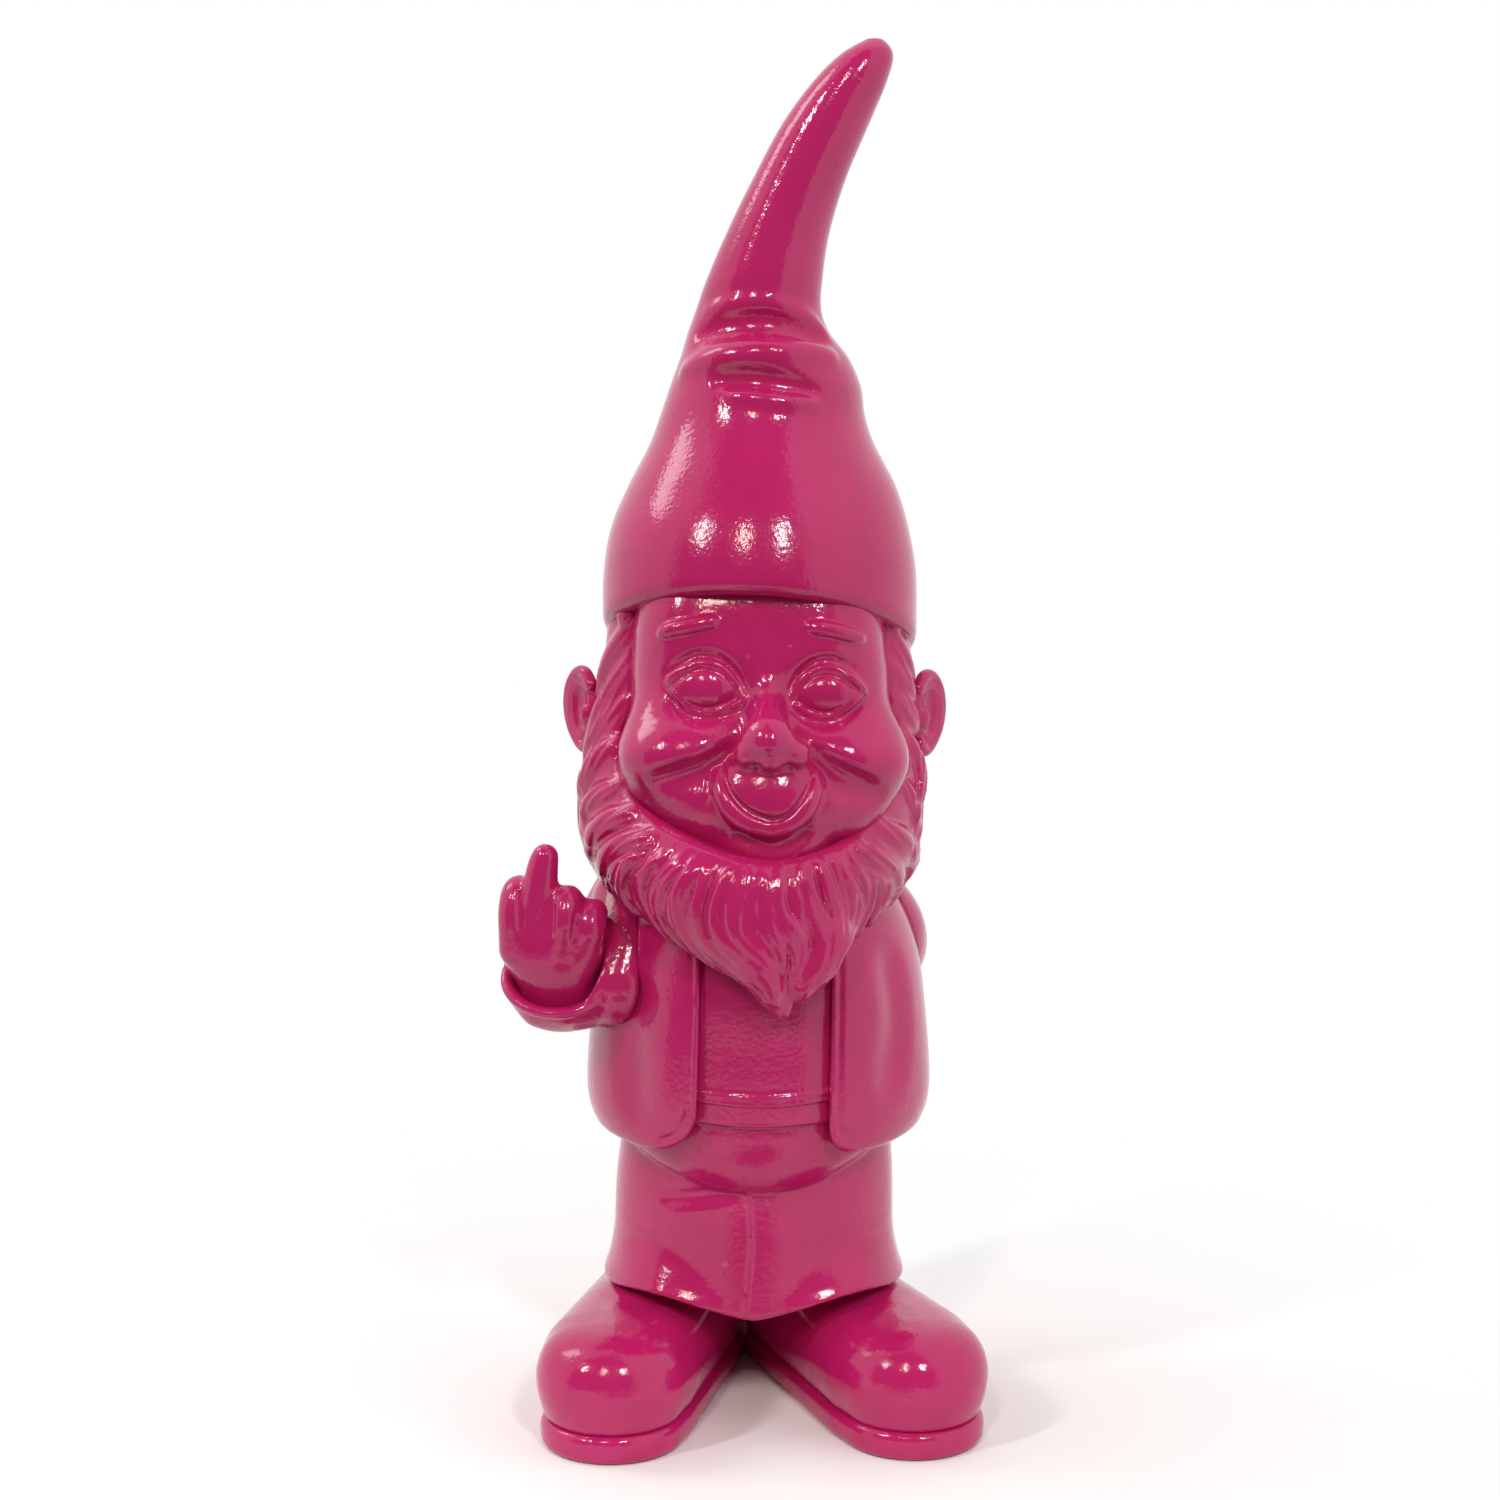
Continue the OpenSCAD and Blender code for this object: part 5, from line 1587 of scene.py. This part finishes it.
def calc(tree: Tree, operation: str, *values: object, clamp: bool = False) -> Socket:
    """Adds a sum of sockets and numbers and returns its result."""
    links = dict(enumerate(values))
    return add_node(tree, "ShaderNodeMath", links, operation=operation, use_clamp=clamp).outputs[0]


def remap(tree: Tree, value: Socket, given: Point, wanted: Point = (0.0, 1.0),
          smooth: bool = True) -> Socket:
    """Adds a change from one range of values to another.

    Args:
        tree: The node tree.
        value: The value that changes.
        given: The range that it comes in, past which it is held.
        wanted: The range that it gets.
        smooth: Whether the change eases in and out.

    Returns:
        The new value.
    """
    links = {"Value": value, **dict(zip(("From Min", "From Max", "To Min", "To Max"), (*given, *wanted)))}
    kind = "SMOOTHSTEP" if smooth else "LINEAR"
    return add_node(tree, "ShaderNodeMapRange", links, interpolation_type=kind).outputs[0]


def mix(tree: Tree, factor: Socket, first: object, second: object) -> Socket:
    """Adds a mix of two colours and returns it."""
    links = {"Factor": factor, 6: first, 7: second}
    return add_node(tree, "ShaderNodeMix", links, data_type="RGBA").outputs[2]


def cloud(tree: Tree, scale: object, detail: float, roughness: float = 0.5) -> Socket:
    """Adds a cloudy noise on the piece's own coordinates.

    Args:
        tree: The node tree.
        scale: The noise's scale, a number or a socket.
        detail: How many finer layers it has.
        roughness: How strong those are.

    Returns:
        The noise's value.
    """
    place = add_node(tree, "ShaderNodeTexCoord").outputs["Object"]
    return add_node(tree, "ShaderNodeTexNoise", {"Vector": place, "Scale": scale, "Detail": detail,
                                                 "Roughness": roughness}).outputs[0]


def new_group(name: str, inputs: dict, outputs: Sequence[str]) -> tuple:
    """Starts a shader node group.

    Args:
        name: The group's name.
        inputs: The default value of each input, a number or a colour, by name.
        outputs: Names of the outputs. The one called Color is a colour.

    Returns:
        The group, its inputs and its output node's sockets.
    """
    group = bpy.data.node_groups.new(name, "ShaderNodeTree")
    for label, value in inputs.items():
        kind = "NodeSocketColor" if isinstance(value, tuple) else "NodeSocketFloat"
        group.interface.new_socket(label, in_out="INPUT", socket_type=kind).default_value = value
    for label in outputs:
        kind = "NodeSocketColor" if label == "Color" else "NodeSocketFloat"
        group.interface.new_socket(label, in_out="OUTPUT", socket_type=kind)
    return group, group.nodes.new("NodeGroupInput").outputs, group.nodes.new("NodeGroupOutput").inputs


def orange_peel() -> Tree:
    """Builds the sprayed skin's relief: fine peel on a slow swell.

    Returns:
        The group.
    """
    sizes = {"Peel Scale": 800.0, "Swell Scale": 120.0, "Swell Share": 0.5}
    group, given, result = new_group("orange_peel", sizes, ("Height",))
    peel = cloud(group, given["Peel Scale"], 2.0, 0.45)
    swell = cloud(group, given["Swell Scale"], 1.0)
    group.links.new(calc(group, "MULTIPLY_ADD", swell, given["Swell Share"], peel), result["Height"])
    return group


def dust_nibs() -> Tree:
    """Builds the few dust grains that a sprayed coat catches.

    Returns:
        The group.
    """
    group, given, result = new_group("dust_nibs", {"Scale": 120.0, "Share": 0.12}, ("Mask",))
    place = add_node(group, "ShaderNodeTexCoord").outputs["Object"]
    cells = add_node(group, "ShaderNodeTexVoronoi", {"Vector": place, "Scale": given["Scale"]})
    chance = add_node(group, "ShaderNodeSeparateColor", {0: cells.outputs["Color"]}).outputs[0]
    chosen = calc(group, "LESS_THAN", chance, given["Share"])
    dot = remap(group, cells.outputs["Distance"], (0.05, 0.11), (1.0, 0.0))
    group.links.new(calc(group, "MULTIPLY", dot, chosen), result["Mask"])
    return group


def mottle() -> Tree:
    """Builds a slow change between two tones, for coats that lie thicker in places.

    Returns:
        The group.
    """
    tones = {"Thin": (0.5, 0.5, 0.5, 1), "Thick": (0.4, 0.4, 0.4, 1), "Scale": 40.0}
    group, given, result = new_group("mottle", tones, ("Color", "Value"))
    tone = remap(group, cloud(group, given["Scale"], 3.0), (0.3, 0.7))
    group.links.new(mix(group, tone, given["Thin"], given["Thick"]), result["Color"])
    group.links.new(tone, result["Value"])
    return group


@dataclass(frozen=True)
class Groups:
    """The shared effects."""

    peel: Tree
    nibs: Tree
    tones: Tree


def use_group(tree: Tree, group: Tree, *values: object) -> Sequence[Socket]:
    """Places a shared effect in a material with its own values.

    Args:
        tree: The material's node tree.
        group: The effect.
        values: Values of the effect's inputs, in order.

    Returns:
        The effect's outputs.
    """
    node = add_node(tree, "ShaderNodeGroup", node_tree=group)
    for socket, value in zip(node.inputs, values):
        socket.default_value = value
    return node.outputs


def new_material(name: str) -> tuple[Material, Tree, bpy.types.Node]:
    """Starts a material.

    Args:
        name: The material's name.

    Returns:
        The material, its node tree and its shader.
    """
    material = bpy.data.materials.new(name)
    material.use_nodes = True
    return material, material.node_tree, material.node_tree.nodes["Principled BSDF"]


@dataclass(frozen=True)
class GrainedFinish:
    """A finish of two tones with a fine grain."""

    name: str
    thin: tuple
    thick: tuple
    tone_scale: float
    grain: tuple
    rough: tuple
    relief: tuple
    metallic: float = 0.0

    def material(self, groups: Groups) -> Material:
        """Builds the finish.

        Args:
            groups: The shared effects.

        Returns:
            The material.
        """
        material, tree, shader = new_material(self.name)
        tones = use_group(tree, groups.tones, self.thin, self.thick, self.tone_scale)
        strength, distance = self.relief
        bump = add_node(tree, "ShaderNodeBump", {"Height": self.height(tree, groups), "Strength": strength,
                                                 "Distance": distance})
        rough = remap(tree, tones["Value"], (0.0, 1.0), self.rough, smooth=False)
        tree.links.new(self.colour(tree, tones["Color"]), shader.inputs["Base Color"])
        tree.links.new(rough, shader.inputs["Roughness"])
        tree.links.new(bump.outputs[0], shader.inputs["Normal"])
        shader.inputs["Metallic"].default_value = self.metallic
        return material

    def height(self, tree: Tree, groups: Groups) -> Socket:
        """Returns the grain's relief."""
        return use_group(tree, groups.peel, *self.grain)["Height"]

    def colour(self, tree: Tree, tone: Socket) -> Socket:
        """Returns the colour, which is the two tones' own."""
        return tone


@dataclass(frozen=True)
class LacquerFinish(GrainedFinish):
    """One coat of glossy magenta lacquer over the whole figure, dusty in places, with a painted highlight
    that makes raised edges paler.
    """

    name: str = "magenta_lacquer"
    thin: tuple = (0.500, 0.0130, 0.128, 1)
    thick: tuple = (0.455, 0.0095, 0.108, 1)
    tone_scale: float = 45.0
    grain: tuple = (850.0, 150.0, 0.9)
    rough: tuple = (0.11, 0.16)
    relief: tuple = (1.0, 0.00008)
    # painted highlight: the paler colour that raised edges are given
    raised: tuple = (0.560, 0.030, 0.165, 1)
    nibs: tuple = (170.0, 0.10)
    nib_height: float = 1.2

    def height(self, tree: Tree, groups: Groups) -> Socket:
        """Returns the relief of orange peel and dust nibs."""
        nibs = use_group(tree, groups.nibs, *self.nibs)["Mask"]
        return calc(tree, "MULTIPLY_ADD", nibs, self.nib_height, super().height(tree, groups))

    def colour(self, tree: Tree, tone: Socket) -> Socket:
        """Returns the coat's colour, with a painted highlight that makes raised edges paler."""
        # painted highlight: the colour turns paler where the surface is pointy, on ridges
        edge = add_node(tree, "ShaderNodeNewGeometry").outputs["Pointiness"]
        return mix(tree, remap(tree, edge, (0.52, 0.60), smooth=False), tone, self.raised)


@dataclass(frozen=True)
class PlugFinish(GrainedFinish):
    """Soft moulded rubber with bloom on it."""

    name: str = "plug_rubber"
    thin: tuple = (0.030, 0.029, 0.030, 1)
    thick: tuple = (0.075, 0.072, 0.072, 1)
    tone_scale: float = 420.0
    grain: tuple = (2600.0, 300.0, 0.3)
    rough: tuple = (0.55, 0.75)
    relief: tuple = (0.6, 0.00008)


@dataclass(frozen=True)
class SteelFinish(GrainedFinish):
    """Drawn steel wire, duller in places."""

    name: str = "drawn_steel"
    thin: tuple = (0.56, 0.56, 0.57, 1)
    thick: tuple = (0.40, 0.39, 0.38, 1)
    tone_scale: float = 900.0
    grain: tuple = (4000.0, 700.0, 0.5)
    rough: tuple = (0.28, 0.42)
    relief: tuple = (0.3, 0.00003)
    metallic: float = 1.0


@dataclass(frozen=True)
class Lamp:
    """A soft rectangular lamp, aimed at the figure's middle."""

    name: str
    azimuth: float
    elevation: float
    distance: float
    size: tuple
    power: float
    mirrored: bool = True
    tint: tuple = (1.0, 1.0, 1.0)

    def place(self) -> None:
        """Hangs the lamp."""
        turn, rise = math.radians(self.azimuth), math.radians(self.elevation)
        away = Vector((math.sin(turn) * math.cos(rise), -math.cos(turn) * math.cos(rise), math.sin(rise)))
        bpy.ops.object.light_add(type="AREA", location=Vector((0, 0, 0.18)) + away * self.distance)
        lamp = bpy.context.object
        lamp.name = self.name
        lamp.rotation_euler = away.to_track_quat("Z", "Y").to_euler()
        lamp.data.shape = "RECTANGLE"
        lamp.data.size, lamp.data.size_y = self.size
        lamp.data.energy = self.power
        lamp.data.color = self.tint
        lamp.visible_glossy = self.mirrored


@dataclass
class Studio:
    """The white studio: floor, lamps, surroundings and camera."""

    floor_r: float = 2.2
    floor_colour: tuple = (0.93, 0.93, 0.93, 1)
    floor_fade: tuple = (0.07, 0.26)
    mirrored_fade: tuple = (0.30, 0.52)
    bare_spot: tuple = (0.0, -0.19, 0.0)
    bare_fade: tuple = (0.045, 0.075)
    lens: float = 60.8
    eye: tuple = (2.68, -645.5, 245.0)
    pitch: float = 6.66
    dark_middle: float = -16.0
    dark_half: float = 52.0
    dark_edge: float = 4.0
    dark_tone: tuple = (0.16, 0.16, 0.16, 1)
    light_tone: tuple = (0.85, 0.85, 0.85, 1)
    lamps: tuple = (
        Lamp("window_right", -50, 37, 2.0, (0.13, 0.44), 10.5),
        Lamp("window_middle", -13, 37, 2.0, (0.11, 0.44), 8.0, True, (1.0, 0.84, 0.68)),
        Lamp("window_left", 19, 37, 2.0, (0.13, 0.42), 10.0),
        Lamp("softbox_right", -106, 44, 1.9, (0.5, 0.8), 6.0),
        Lamp("softbox_left", 80, 38, 2.0, (0.5, 0.5), 2.5, False))

    def build(self) -> None:
        """Sets up the studio."""
        self.floor()
        self.surroundings()
        for lamp in self.lamps:
            lamp.place()
        self.camera()

    def floor(self) -> None:
        """Lays the round pale floor, which fades into the white behind."""
        bpy.ops.object.select_all(action="DESELECT")
        bpy.ops.mesh.primitive_circle_add(vertices=96, radius=self.floor_r, fill_type="NGON")
        floor = bpy.context.object
        floor.name = "studio_floor"
        material, tree, shader = new_material("pale_floor")
        place = add_node(tree, "ShaderNodeTexCoord").outputs["Object"]
        far = add_node(tree, "ShaderNodeVectorMath", {0: place}, operation="LENGTH").outputs["Value"]
        spot = {0: place, 1: self.bare_spot}
        off = add_node(tree, "ShaderNodeVectorMath", spot, operation="DISTANCE").outputs["Value"]
        fade = remap(tree, far, self.floor_fade, (1.0, 0.0))
        wide = remap(tree, far, self.mirrored_fade, (1.0, 0.0))
        bright = calc(tree, "MULTIPLY", wide, remap(tree, off, self.bare_fade))
        mirrored = add_node(tree, "ShaderNodeLightPath").outputs["Is Glossy Ray"]
        laid = add_node(tree, "ShaderNodeMix", {"Factor": mirrored, "A": fade, "B": bright}).outputs[0]
        under = add_node(tree, "ShaderNodeNewGeometry").outputs["Backfacing"]
        tree.links.new(calc(tree, "SUBTRACT", laid, under, clamp=True), shader.inputs["Alpha"])
        shader.inputs["Base Color"].default_value = self.floor_colour
        shader.inputs["Roughness"].default_value = 0.9
        floor.data.materials.append(material)

    def surroundings(self) -> None:
        """Makes the white backdrop and the darker room behind the camera."""
        world = bpy.data.worlds.new("white_studio")
        bpy.context.scene.world = world
        world.use_nodes = True
        tree = world.node_tree
        room = tree.nodes["Background"]
        way = add_node(tree, "ShaderNodeTexCoord").outputs["Generated"]
        parts = add_node(tree, "ShaderNodeSeparateXYZ", {0: way}).outputs
        around = calc(tree, "ARCTAN2", parts[0], calc(tree, "MULTIPLY", parts[1], -1.0))
        off = calc(tree, "ABSOLUTE", calc(tree, "SUBTRACT", around, math.radians(self.dark_middle)))
        lit = remap(tree, off, (math.radians(self.dark_half - self.dark_edge),
                                math.radians(self.dark_half + self.dark_edge)))
        tree.links.new(mix(tree, lit, self.dark_tone, self.light_tone), room.inputs["Color"])
        white = add_node(tree, "ShaderNodeBackground", {"Color": (1, 1, 1, 1), "Strength": 1.0})
        path = add_node(tree, "ShaderNodeLightPath").outputs
        clear = calc(tree, "ADD", path["Is Glossy Ray"], path["Is Transmission Ray"])
        seen = calc(tree, "MULTIPLY_ADD", clear, lit, path["Is Camera Ray"], clamp=True)
        blend = add_node(tree, "ShaderNodeMixShader", {0: seen, 1: room.outputs[0], 2: white.outputs[0]})
        tree.links.new(blend.outputs[0], tree.nodes["World Output"].inputs["Surface"])

    def camera(self) -> None:
        """Sets the camera where the photograph was taken from."""
        turn = (math.radians(90 - self.pitch), 0, 0)
        bpy.ops.object.camera_add(location=Vector(self.eye) * MM, rotation=turn)
        camera = bpy.context.object
        camera.name = "photo_camera"
        camera.data.lens = self.lens
        camera.data.sensor_width = 36
        camera.data.clip_start = 0.01
        bpy.context.scene.camera = camera
        bpy.context.scene.view_settings.view_transform = "Standard"


def main() -> None:
    """Builds the figure, its finishes and the studio."""
    logging.basicConfig(level=logging.INFO, format="%(name)s: %(message)s")
    groups = Groups(orange_peel(), dust_nibs(), mottle())
    finishes = (LacquerFinish(), PlugFinish(), SteelFinish())
    lacquer, rubber, steel = (finish.material(groups) for finish in finishes)
    feet = ((Foot(-1, 11), "right"), (Foot(1, 21), "left"))
    castings = (Head(), Ear("right", -1, (-43.0, 1.0, 179.6)), Ear("left", 1, (41.0, 1.0, 178.6)), Beard(),
                BackHair(), Hat(), ShirtBody(), Jacket(), RightArm(), LeftArm(), Trousers(), HeelWeb(),
                *(Boot(*foot) for foot in feet))
    for casting in castings:
        casting.dress(lacquer)
    for foot in feet:
        VentPlug(*foot).dress(rubber)
    for node in ("finger_wire", "wrist_pin", "shoulder_pins"):
        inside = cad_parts[node]
        inside.data.materials.clear()
        inside.data.materials.append(steel)
        LOG.info("%s: kept inside, in steel", node)
    Studio().build()


if __name__ == "__main__":
    main()
